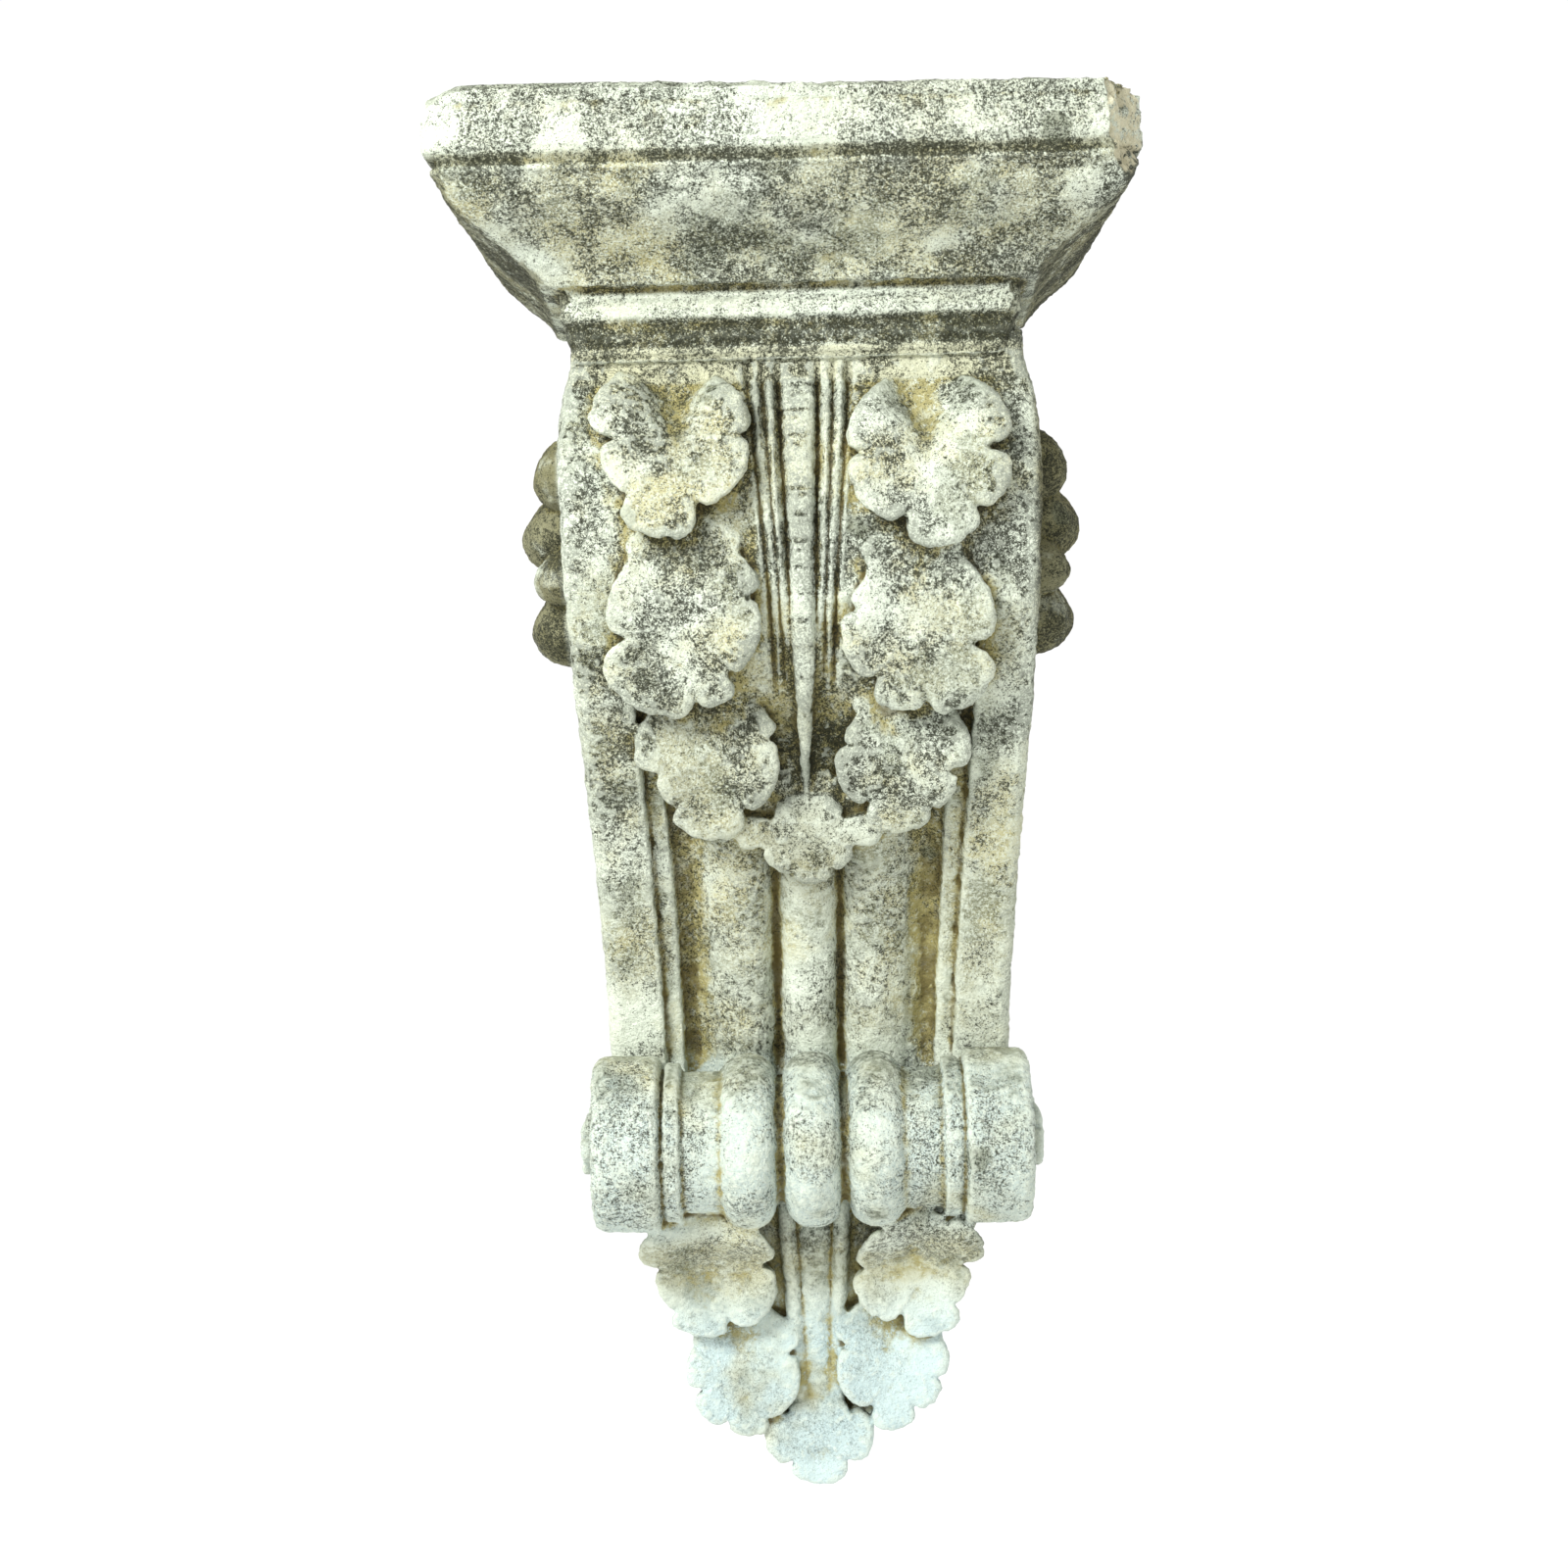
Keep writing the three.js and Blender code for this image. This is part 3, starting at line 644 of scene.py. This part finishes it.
def carveSpiral(side):
    centreZ = float(heightOf(spiral["down"]))
    centreP = block["bulge"] - spiral["radius"]
    wide, high = spiral["width"], spiral["height"]
    shape = np.array([(0, -4), (0, 4.5), (1.5, high), (wide - 1.5, high), (wide, 4.5), (wide, -4)])

    def placeOf(step, along):
        a = np.radians(spiral["turn"][0] + (spiral["turn"][1] - spiral["turn"][0]) * along)
        outer = spiral["radius"] * (1 - spiral["tighten"] * along) - 2
        x0 = halfAt(centreZ + outer * np.sin(a)) - block["sideSink"]
        k = step.astype(int)
        r = outer - shape[k, 0]
        return np.stack([side * (x0 + shape[k, 1]), -(centreP + r * np.cos(a)), centreZ + r * np.sin(a)], 1)

    return rolledGrid("scrollLine", len(shape), 120, placeOf)


rosette = {"radius": 21, "height": 14, "lift": 3, "petals": 7, "edge": 6, "bury": 4}


def carveRosette(side):
    base = roll["half"] - block["sideSink"]
    lobes = [(i * 360 / rosette["petals"], .78, 1) for i in range(rosette["petals"])]

    def place(across, along, height):
        return np.stack([side * (base + height), -(roll["p"] + across), roll["z"] + rosette["lift"] + along], 1)

    return leafShell("rosette", lobes, rosette["radius"], rosette["height"], rosette["edge"], rosette["bury"], place,
                     70 + side, 1)


# One stone from its shells: joined, remeshed, worn and pitted
wear = {
    "voxel": {"corbelCap": 1.9, "corbelScroll": 1.55, "corbelPendant": 1.45},
    "triangles": 190000,
    "soften": 1,
    "noise": [("broad", 34, 1.3), ("lumps", 13, 1.0), ("grit", 5, 1.1), ("pits", 2.6, .8)],
    # Each measure of the relief: (rounds of averaging, mm that count as full, the way it points)
    "crevice": (8, 1.1, 1),
    "edge": (4, .5, -1),
    "hollow": (40, 3, 1),
    "recess": (160, 8, 1),
}


def addWear(piece, name, scale, strength):
    texture = bpy.data.textures.new(name, "CLOUDS")
    texture.noise_scale = scale * mm
    texture.noise_depth = 2
    texture.noise_basis = "IMPROVED_PERLIN"
    modifier = piece.modifiers.new(name, "DISPLACE")
    modifier.texture = texture
    modifier.texture_coords = "LOCAL"
    modifier.strength = strength * mm * 2
    modifier.mid_level = 0.5
    bpy.ops.object.modifier_apply(modifier=name)


def asOneStone(name, shells):
    clearSelection()
    for shell in shells:
        shell.select_set(True)
    bpy.context.view_layer.objects.active = shells[0]
    bpy.ops.object.join()
    piece = bpy.context.object
    piece.name = name
    piece.data.name = name
    spots = pointsOf(piece)
    if name != "corbelCap":
        spots[:, 0] += leanAt(spots[:, 2])
    movePoints(piece, spots)
    remesh = piece.modifiers.new("solid", "REMESH")
    remesh.mode = "VOXEL"
    remesh.voxel_size = wear["voxel"][name] * mm
    bpy.ops.object.modifier_apply(modifier="solid")
    smooth = piece.modifiers.new("soften", "SMOOTH")
    smooth.factor = 0.5
    smooth.iterations = wear["soften"]
    bpy.ops.object.modifier_apply(modifier="soften")
    print("corbel:", name, "remeshed,", len(piece.data.polygons), "faces")
    return piece


# What is broken or worn away: points beyond a plane are pressed back on to it, as with a scraping tool. Each is
# (a point on the plane, its outward normal, softness, the heights it works between, 1 where the break is fresh)
losses = {
    "brokenCorner": ((178.5, -270, 377), (.894, -.436, .1045), .6, (330, 500), 1),
    "wornCorner": ((-180, -273, 398.5), (-.4925, -.413, .766), 2.6, (330, 500), 0),
    "wornTop": ((150, -280, 394.6), (.016, 0, 1), .5, (330, 500), 0),
}
# How rough a fresh break is: (size of the lumps, their height), in mm
breakLumps = [(17, 5), (6, 3.2)]


def scrape(piece, broken):
    spots = pointsOf(piece)
    for point, normal, soft, (low, high), fresh in losses.values():
        normal = np.array(normal) / np.linalg.norm(normal)
        beyond = (spots - np.array(point)) @ normal
        beyond[(spots[:, 2] < low) | (spots[:, 2] > high)] = -99
        if fresh:
            for i in np.flatnonzero(beyond > -8):
                beyond[i] += sum(high * noise.noise(Vector(spots[i]) / wide) for wide, high in breakLumps)
        press = np.where(beyond > -4 * soft, soft * np.log1p(np.exp(np.clip(beyond / soft, -30, 30))), 0)
        spots -= normal * press[:, None]
        broken = np.maximum(broken, fresh * ease(.3, 2.5, press))
    # The top edge rises toward the left
    lift = block["topLift"] * ease(*block["liftBetween"], spots[:, 2])
    spots[:, 2] += lift * np.clip(-spots[:, 0] / 150, 0, 1)
    movePoints(piece, spots)
    return broken


# Narrow grooves cut into the front of the scroll: (x at the top, x at the foot, from share, to share, width, depth),
# and the joints across the chain of husks
incised = {
    "husk": (11.5, 6.5, .0, .43, 1.7, 4.5),
    "innerStalk": (20, 11, .0, .5, 1.5, 4),
    "outerStalk": (28.5, 16, .0, .5, 1.9, 5.5),
}
huskJoint = {"pitch": 14.2, "depth": 1.5, "width": 1.3, "reach": 22}


def incise(piece):
    spots = pointsOf(piece)
    t = shareOf(spots[:, 2])
    lean = leanAt(spots[:, 2])
    facing = spots[:, 1] < -(frontAt(spots[:, 2]) - huskJoint["reach"])
    for top, foot, start, end, width, depth in incised.values():
        x = top + (foot - top) * ease(start - .1, end, t)
        fade = ease(start - .02, start + .03, t) * (1 - ease(end - .12, end, t))
        off = np.minimum(np.abs(spots[:, 0] - lean - x), np.abs(spots[:, 0] - lean + x))
        spots[:, 1] += facing * fade * depth * np.exp(-(off / width) ** 2)
    joint = t * (block["shaftTop"] - block["crease"]) / huskJoint["pitch"]
    across = np.abs(joint - np.round(joint)) * huskJoint["pitch"]
    onHusk = (np.abs(spots[:, 0] - lean) < 10 - 5 * t) & facing & (t < .42)
    spots[:, 1] += onHusk * huskJoint["depth"] * np.exp(-(across / huskJoint["width"]) ** 2)
    movePoints(piece, spots)


# How far each point lies below (hollow) or above (edge) the average of the stone about it, in mm
def reliefOf(piece, rounds):
    mesh = piece.data
    pairs = np.empty(len(mesh.edges) * 2, int)
    mesh.edges.foreach_get("vertices", pairs)
    a, b = pairs[::2], pairs[1::2]
    count = np.bincount(pairs, minlength=len(mesh.vertices)).astype(float)
    normal = np.empty(len(mesh.vertices) * 3)
    mesh.vertices.foreach_get("normal", normal)
    normal = normal.reshape(-1, 3)
    spots = pointsOf(piece)
    flat = spots.copy()
    found = {}
    for i in range(1, max(rounds) + 1):
        gathered = np.stack([np.bincount(a, flat[b, k], len(flat)) + np.bincount(b, flat[a, k], len(flat))
                             for k in range(3)], 1)
        flat = gathered / count[:, None]
        if i in rounds:
            found[i] = np.einsum("ij,ij->i", flat - spots, normal)
    return found


def keepAttribute(piece, name, values):
    layer = piece.data.attributes.new(name, "FLOAT", "POINT")
    layer.data.foreach_set("value", values.astype(np.float32))


def keepRelief(piece, *names):
    relief = reliefOf(piece, [wear[name][0] for name in names])
    for name in names:
        rounds, full, way = wear[name]
        keepAttribute(piece, name, np.clip(way * relief[rounds] / full, 0 if name == "crevice" else -1, 1))


def finishStone(piece):
    pickOnly(piece)
    if piece.name == "corbelCap":
        keepAttribute(piece, "broken", scrape(piece, np.zeros(len(piece.data.vertices))))
    if piece.name == "corbelScroll":
        incise(piece)
    keepRelief(piece, "crevice")
    for name, scale, strength in wear["noise"]:
        addWear(piece, name, scale, strength)
    spots = pointsOf(piece)
    spots[:, 1] = np.where(spots[:, 1] > -.2, np.clip(spots[:, 1], -.2, 0), spots[:, 1])
    spots[:, 2] = np.clip(spots[:, 2], block["tip"], block["top"] + block["topLift"])
    movePoints(piece, spots)
    sides = sum(len(p.vertices) - 2 for p in piece.data.polygons)
    if sides > wear["triangles"]:
        thin = piece.modifiers.new("thin", "DECIMATE")
        thin.ratio = wear["triangles"] / sides
        bpy.ops.object.modifier_apply(modifier="thin")
    keepRelief(piece, "edge", "hollow", "recess")
    facing = np.empty(len(piece.data.vertices) * 3)
    piece.data.vertices.foreach_get("normal", facing)
    keepAttribute(piece, "upward", facing[2::3])
    keepAttribute(piece, "sideways", np.abs(facing[::3]))
    bpy.ops.object.shade_smooth()
    print("corbel:", piece.name, "finished,", len(piece.data.polygons), "faces")


# The stone's material
stoneLook = {
    "cream": (.34, .345, .23, 1),
    "pale": (.58, .63, .52, 1),
    "greenGrey": (.125, .14, .09, 1),
    "warm": (.42, .39, .19, 1),
    "ochre": (.31, .275, .10, 1),
    "olive": (.14, .13, .055, 1),
    "brown": (.085, .065, .02, 1),
    "speck": (.022, .024, .014, 1),
    "blueGrey": (.44, .56, .56, 1),
    "rollGrey": (.42, .51, .485, 1),
    "freshBreak": (.60, .56, .38, 1),
    "roughness": .92,
    "sheen": .15,
    "grainStrength": .8,
    "grainDepth": .0018,
}

# Coats over the pale stone, in the order they are laid: (colour, how strong)
stoneCoats = {
    "warm": ("warm", .6),
    "drift": ("greenGrey", .6),
    "roll": ("rollGrey", .75),
    "tip": ("blueGrey", .85),
    "clean": ("pale", .7),
    "grains": ("pale", 1),
    # ochre dirt and painted shade in the hollows
    "ochreAndShade": ("ochre", .9),
    "neck": ("warm", .45),
    # olive grime and painted shade in the cove
    "cove": ("olive", .8),
    # brown painted shade and dirt in the deepest hollows
    "deep": ("brown", .75),
    # brown painted shade along sharp creases
    "crevice": ("brown", .85),
    # painted shadow line in the quirk under the top band
    "quirk": ("olive", .5),
    "rained": ("greenGrey", .7),
    # olive moss and painted shade on the side sprigs, the ogee returns and the middle between the low leaves
    "sprig": ("olive", .88),
    "returns": ("olive", .7),
    "shadeAndDirt": ("olive", .35),
    "lichen": ("greenGrey", .6),
    "specks": ("speck", 1),
    "worn": ("pale", 1),
    "broken": ("freshBreak", .75),
}

# How much of a thing there is, and how much more or less in one place
stoneShares = {
    "mouldingsClean": .9,
    "grains": .65,
    "grainsMoreOnCap": .2,
    "grainsLessOnPendant": .5,
    "recess": .85,
    "creviceLessOnCap": .6,
    "quirkFootWaver": .006,
    "quirkHeadWaver": .008,
    "worn": .4,
    "wornLessOnCap": .35,
    "grit": .35,
}

# Noise: (scale, detail, roughness, shift)
stoneNoise = {
    "patches": (11, 4, .6, None),
    "drift": (26, 4, .65, (3, 1, 7)),
    "warm": (17, 3, .6, (8, 3, 3)),
    "tint": (19, 3, .6, (9, 2, 4)),
    "grains": (640, 4, .85, (7, 7, 2)),
    "ochreAndShade": (42, 3, .6, (5, 5, 1)),
    "ochreAndShadeFine": (230, 4, .85, (5, 2, 7)),
    "cove": (250, 5, .9, (2, 6, 6)),
    "deep": (70, 3, .6, (2, 2, 9)),
    "quirkFoot": (60, 3, .6, (3, 3, 3)),
    "quirkHead": (45, 4, .7, (6, 3, 3)),
    "rained": (35, 4, .65, (9, 9, 1)),
    "sprig": (30, 4, .6, (6, 1, 1)),
    "dirty": (22, 5, .7, (1, 4, 2)),
    "coarseSpeck": (430, 5, .9, None),
    "fineSpeck": (900, 3, .85, (2, 8, 3)),
    "lichenEdge": (150, 3, .7, (1, 1, 1)),
    "lichenArea": (9, 2, .5, (4, 4, 4)),
    "broken": (160, 4, .7, (5, 9, 5)),
    "grit": (1100, 2, .6, None),
    "grain": (380, 3, .6, (4, 0, 6)),
}

# Where each of them begins and is full
stoneSteps = {
    "patches": (.38, .58),
    "drift": (.50, .60),
    "warm": (.46, .62),
    "tint": (.3, .55),
    "grains": (.51, .54),
    "ochreAndShade": (.3, .5),
    "ochreAndShadeFine": (.36, .50),
    "cove": (.46, .52),
    "deep": (.3, .6),
    "rained": (.35, .6),
    "sprig": (.2, .45),
    "dirty": (.39, .57),
    "lichenArea": (.5, .53),
    "broken": (.42, .52),
}

# Measures of the mesh: (attribute, where it begins, where it is full)
stoneMarks = {
    "crevice": ("crevice", .3, .9),
    "hollow": ("hollow", .10, .6),
    "deepHollow": ("hollow", .75, 1.0),
    "recess": ("recess", .2, .75),
    "upward": ("upward", .35, .8),
    "sideways": ("sideways", .35, .65),
    "edge": ("edge", .25, .9),
}

# Heights on the stone, in m: (where a zone begins, where it is full)
stoneHeights = {
    "cap": (.262, .266),
    "topBand": (.358, .366),
    "ogeeFoot": (.262, .30),
    "ogeeHead": (.372, .345),
    "quirkFoot": (.3595, .361),
    "quirkHead": (.3695, .3665),
    "deepHead": (.235, .18),
    "sprigHead": (.245, .235),
    "sprigFoot": (-.05, .0),
    "middleHead": (.11, .06),
    "middleFoot": (-.045, -.01),
    "lowShaftHead": (.03, -.02),
    "lowShaftFoot": (-.145, -.12),
    "rollHead": (-.125, -.14),
    "rollFoot": (-.245, -.225),
    "warmFoot": (-.34, -.22),
    "pendant": (-.225, -.27),
    "tip": (-.255, -.31),
}

# Mouldings under the cap: (foot, head), with soft ends
mouldings = {"fillet": (.2845, .2985), "cove": (.269, .283), "neck": (.250, .2685), "softness": .0015}

# How far from the middle, in m: (where a zone begins, where it is full)
stoneAcross = {"sprig": (.127, .134), "middle": (.045, .015)}

lichen = {"scale": 17, "edge": .16, "reach": (.235, .2)}

# Dense dark specks: how much more or less of them there is in each place, then (begins, full, how far the amount
# moves it) for the two sizes, and their strength
specks = {
    # more specks in the painted shade of the ogee returns and the middle between the low leaves
    "shadeAndDirt": .35,
    "topBand": .25,
    # more specks on the cove and quirk lines, which carry painted shade
    "darkLines": .35,
    "fillet": .5,
    "roll": .5,
    "low": .45,
    "coarse": (.572, .590, .09),
    "fine": (.590, .610, .085),
    "strength": .9,
    "lessOnPendant": .55,
}


class Maker:
    def __init__(self, material):
        self.nodes = material.node_tree.nodes
        self.links = material.node_tree.links
        self.place = self.add("ShaderNodeTexCoord").outputs["Object"]
        apart = self.add("ShaderNodeSeparateXYZ")
        self.links.new(self.place, apart.inputs[0])
        self.z = apart.outputs["Z"]
        self.across = self.math("ABSOLUTE", apart.outputs["X"])

    def add(self, kind, **settings):
        node = self.nodes.new(kind)
        for key, value in settings.items():
            setattr(node, key, value)
        return node

    def join(self, value, socket):
        if isinstance(value, bpy.types.NodeSocket):
            self.links.new(value, socket)
        else:
            socket.default_value = value

    def math(self, kind, a, b=0.5):
        node = self.add("ShaderNodeMath", operation=kind)
        self.join(a, node.inputs[0])
        self.join(b, node.inputs[1])
        return node.outputs[0]

    def times(self, *values):
        product = values[0]
        for value in values[1:]:
            product = self.math("MULTIPLY", product, value)
        return product

    def less(self, start, value, share=1.0):
        return self.math("SUBTRACT", start, self.times(value, share))

    def more(self, start, value, share=1.0):
        return self.math("ADD", start, self.times(value, share))

    def step(self, value, low, high):
        node = self.add("ShaderNodeMapRange", interpolation_type="SMOOTHSTEP")
        self.join(value, node.inputs["Value"])
        node.inputs["From Min"].default_value = low
        node.inputs["From Max"].default_value = high
        return node.outputs["Result"]

    def mix(self, share, a, b):
        node = self.add("ShaderNodeMix", data_type="RGBA")
        self.join(share, node.inputs["Factor"])
        self.join(a, node.inputs["A"])
        self.join(b, node.inputs["B"])
        return node.outputs["Result"]

    def noise(self, name):
        scale, detail, rough, shift = stoneNoise[name]
        node = self.add("ShaderNodeTexNoise")
        place = self.place
        if shift:
            mapping = self.add("ShaderNodeMapping")
            self.links.new(place, mapping.inputs["Vector"])
            mapping.inputs["Location"].default_value = shift
            place = mapping.outputs["Vector"]
        self.links.new(place, node.inputs["Vector"])
        node.inputs["Scale"].default_value = scale
        node.inputs["Detail"].default_value = detail
        node.inputs["Roughness"].default_value = rough
        node.inputs["Distortion"].default_value = 0
        return node.outputs["Fac"]

    def cloud(self, name):
        return self.step(self.noise(name), *stoneSteps[name])

    def attribute(self, name):
        return self.add("ShaderNodeAttribute", attribute_name=name).outputs["Fac"]

    def mark(self, name):
        source, low, high = stoneMarks[name]
        return self.step(self.attribute(source), low, high)

    def zone(self, *names):
        return self.times(*[self.step(self.z, *stoneHeights[name]) for name in names])

    def moulding(self, name):
        low, high = mouldings[name]
        soft = mouldings["softness"]
        return self.times(self.step(self.z, low - soft, low + soft), self.step(self.z, high + soft, high - soft))

    def coat(self, colour, name, *shares):
        over, strong = stoneCoats[name]
        return self.mix(self.times(*shares, strong), colour, stoneLook[over])


def weatheredStone():
    material = bpy.data.materials.new("weatheredLimestone")
    material.use_nodes = True
    shader = material.node_tree.nodes["Principled BSDF"]
    make = Maker(material)
    fillet, cove, neck = [make.moulding(name) for name in ("fillet", "cove", "neck")]
    share = stoneShares
    clean = make.less(1.0, make.math("MAXIMUM", fillet, neck), share["mouldingsClean"])
    onCap, onTop, onPendant = [make.zone(name) for name in ("cap", "topBand", "pendant")]
    onOgee = make.zone("ogeeFoot", "ogeeHead")
    onRoll = make.zone("rollHead", "rollFoot")
    tint = make.cloud("tint")
    # Pale and cream stone, with warm and grey-green areas, bluer on the roll and toward the tip
    colour = make.mix(make.cloud("patches"), stoneLook["cream"], stoneLook["pale"])
    colour = make.coat(colour, "warm", make.cloud("warm"), make.zone("warmFoot"))
    colour = make.coat(colour, "drift", make.cloud("drift"))
    colour = make.coat(colour, "roll", onRoll, tint)
    colour = make.coat(colour, "tip", make.zone("tip"), tint)
    colour = make.coat(colour, "clean", make.math("MAXIMUM", make.math("MAXIMUM", onTop, fillet), neck))
    # Pale grains all over
    shown = make.more(share["grains"], onCap, share["grainsMoreOnCap"])
    shown = make.less(shown, onPendant, share["grainsLessOnPendant"])
    colour = make.coat(colour, "grains", make.cloud("grains"), shown)
    # Ochre dirt settles in the hollows, with painted shade darkening them too
    ochreAndShade = make.math("MAXIMUM", make.mark("hollow"), make.times(make.mark("recess"), share["recess"]))
    colour = make.coat(colour, "ochreAndShade", ochreAndShade, make.cloud("ochreAndShade"), make.cloud("ochreAndShadeFine"), clean)
    colour = make.coat(colour, "neck", neck)
    # Olive grime and painted shade in the cove under the fillet
    colour = make.coat(colour, "cove", cove, make.cloud("cove"))
    # Brown painted shade, with dirt, in the deepest hollows below the upper shaft
    colour = make.coat(colour, "deep", make.mark("deepHollow"), make.cloud("deep"), clean, make.zone("deepHead"))
    # Brown painted shade along sharp creases and under leaf rims, less of it on the cap
    shown = make.less(1.0, onCap, share["creviceLessOnCap"])
    colour = make.coat(colour, "crevice", make.mark("crevice"), clean, shown)
    # A dark painted shadow line in the quirk under the cap's top band
    foot = make.more(make.z, make.noise("quirkFoot"), share["quirkFootWaver"])
    head = make.more(make.z, make.noise("quirkHead"), share["quirkHeadWaver"])
    quirk = make.times(make.step(foot, *stoneHeights["quirkFoot"]), make.step(head, *stoneHeights["quirkHead"]))
    colour = make.coat(colour, "quirk", quirk)
    # Grey-green growth where rain lies
    colour = make.coat(colour, "rained", make.mark("upward"), make.cloud("rained"))
    # The sprigs on the sides, the returns of the cap's ogee and the middle between the low leaves are olive: moss and
    # dirt with painted shade
    onSprig = make.times(make.step(make.across, *stoneAcross["sprig"]), make.zone("sprigFoot", "sprigHead"),
                         make.cloud("sprig"))
    colour = make.coat(colour, "sprig", onSprig)
    returns = make.times(make.mark("sideways"), onOgee)
    colour = make.coat(colour, "returns", returns)
    shadeAndDirt = make.times(make.step(make.across, *stoneAcross["middle"]), make.zone("middleHead", "middleFoot"))
    colour = make.coat(colour, "shadeAndDirt", shadeAndDirt)
    # Round spots of lichen
    cells = make.add("ShaderNodeTexVoronoi")
    make.links.new(make.place, cells.inputs["Vector"])
    cells.inputs["Scale"].default_value = lichen["scale"]
    spots = make.more(cells.outputs["Distance"], make.noise("lichenEdge"), lichen["edge"])
    spots = make.times(make.step(spots, *lichen["reach"]), make.cloud("lichenArea"), make.less(1.0, onPendant))
    colour = make.coat(colour, "lichen", spots)
    # Dark specks in patches, with more of them where shade is painted: the ogee returns, the middle between the low
    # leaves, the cove and the quirk line
    amount = make.more(make.cloud("dirty"), make.math("ADD", returns, shadeAndDirt), specks["shadeAndDirt"])
    amount = make.less(amount, onTop, specks["topBand"])
    amount = make.more(amount, make.math("MAXIMUM", cove, quirk), specks["darkLines"])
    amount = make.less(amount, fillet, specks["fillet"])
    amount = make.less(amount, onRoll, specks["roll"])
    low = make.math("ADD", onPendant, make.zone("lowShaftHead", "lowShaftFoot"))
    amount = make.less(amount, low, specks["low"])
    strength = make.less(specks["strength"], onPendant, specks["lessOnPendant"])
    for size in ("coarse", "fine"):
        begins, full, moved = specks[size]
        grown = make.more(make.noise(size + "Speck"), amount, moved)
        colour = make.coat(colour, "specks", make.step(grown, begins, full), strength)
    # Worn edges are paler, and a fresh break is cleaner
    shown = make.less(share["worn"], onCap, share["wornLessOnCap"])
    colour = make.coat(colour, "worn", make.mark("edge"), shown, make.less(1.0, onSprig))
    colour = make.coat(colour, "broken", make.attribute("broken"), make.cloud("broken"))
    make.links.new(colour, shader.inputs["Base Color"])
    shader.inputs["Roughness"].default_value = stoneLook["roughness"]
    shader.inputs["Specular IOR Level"].default_value = stoneLook["sheen"]
    bump = make.add("ShaderNodeBump")
    bump.inputs["Strength"].default_value = stoneLook["grainStrength"]
    bump.inputs["Distance"].default_value = stoneLook["grainDepth"]
    make.links.new(make.more(make.noise("grain"), make.noise("grit"), share["grit"]), bump.inputs["Height"])
    make.links.new(bump.outputs["Normal"], shader.inputs["Normal"])
    return material


# Carve it
capStone = asOneStone("corbelCap", [carveCap()])
print("corbel: cap carved")

shells = [carveShaft("shaftBlock", -.035, 1.07, 170)]
for number, (name, leaf) in enumerate(frontLeaves.items()):
    horned = "top" in name
    dip = 11 if "low" in name else 0
    shells.append(frontLeafShell(name, leaf, 10 + number, horned, 1 if horned else .15, dip))
shells.append(frontLeafShell("endLeaf", endLeaf, 20, dip=10))
shells.append(frontLeafShell("leafBed", bedLeaf, 21, dip=12))
for side in (1, -1):
    shells.append(carveSpiral(side))
    for number, leaf in enumerate(sideSprig["lobes"]):
        shells.append(sideLeafShell("sideLeaf", leaf, side, 40 + number + 5 * side))
shells += carveStems()
scrollStone = asOneStone("corbelScroll", shells)
print("corbel: scroll carved")

shells = [carveShaft("pendantBlock", 1.04, 1.88, 110), carveRoll(), carveRosette(1), carveRosette(-1)]
for number, (name, leaf) in enumerate(pendantLeaves.items()):
    shells.append(frontLeafShell(name, leaf, 60 + number, .25, .25, 0 if "low" in name else -30))
shells.append(frontLeafShell("tipLeaf", tipLeaf, 69))
shells += carvePendantStems()
pendantStone = asOneStone("corbelPendant", shells)
print("corbel: pendant carved")

limestone = weatheredStone()
for piece in (capStone, scrollStone, pendantStone):
    finishStone(piece)
    piece.data.materials.clear()
    piece.data.materials.append(limestone)
    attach(piece, "root")
    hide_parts("corbel")

# Floor, light and camera
studio = {
    "floor": -.95,
    "floorSize": 9,
    "floorColour": (.97, .97, .97, 1),
    "world": 1.03,
    "key": 76,
    "keyAt": (-1.2, -1.8, 1.25),
    "keySize": .8,
    "keyAim": (0, -.1, .05),
}


def setStudio():
    clearSelection()
    bpy.ops.mesh.primitive_plane_add(size=studio["floorSize"], location=(0, 0, studio["floor"]))
    floor = bpy.context.object
    floor.name = "paleFloor"
    paper = bpy.data.materials.new("palePaper")
    paper.use_nodes = True
    shader = paper.node_tree.nodes["Principled BSDF"]
    shader.inputs["Base Color"].default_value = studio["floorColour"]
    shader.inputs["Roughness"].default_value = .9
    floor.data.materials.append(paper)
    world = bpy.data.worlds.new("studioWorld")
    bpy.context.scene.world = world
    world.use_nodes = True
    background = world.node_tree.nodes["Background"]
    background.inputs["Color"].default_value = (1, 1, 1, 1)
    background.inputs["Strength"].default_value = studio["world"]
    bpy.ops.object.light_add(type="AREA", location=studio["keyAt"])
    key = bpy.context.object
    key.name = "keyLight"
    key.data.size = studio["keySize"]
    key.data.energy = studio["key"]
    toward = Vector(studio["keyAim"]) - Vector(studio["keyAt"])
    key.rotation_euler = toward.to_track_quat("-Z", "Y").to_euler()


# The picture is 1600 pixels square: focal length and shifts are in its pixels, the roll in degrees
view = {
    "picture": 1600,
    "at": (0, -1.7, .081),
    "roll": 1.51,
    "focal": 2779,
    "shift": (-16.5, -95),
    "sensor": 36,
    "clip": (.05, 50),
}


def setCamera():
    data = bpy.data.cameras.new("camera")
    camera = bpy.data.objects.new("camera", data)
    bpy.context.scene.collection.objects.link(camera)
    camera.location = view["at"]
    camera.rotation_euler = (math.radians(90), math.radians(view["roll"]), 0)
    data.sensor_width = view["sensor"]
    data.lens = view["sensor"] * view["focal"] / view["picture"]
    data.shift_x, data.shift_y = [shift / view["picture"] for shift in view["shift"]]
    data.clip_start, data.clip_end = view["clip"]
    bpy.context.scene.camera = camera


setStudio()
setCamera()
bpy.context.scene.view_settings.view_transform = "Standard"
print("corbel: studio set")
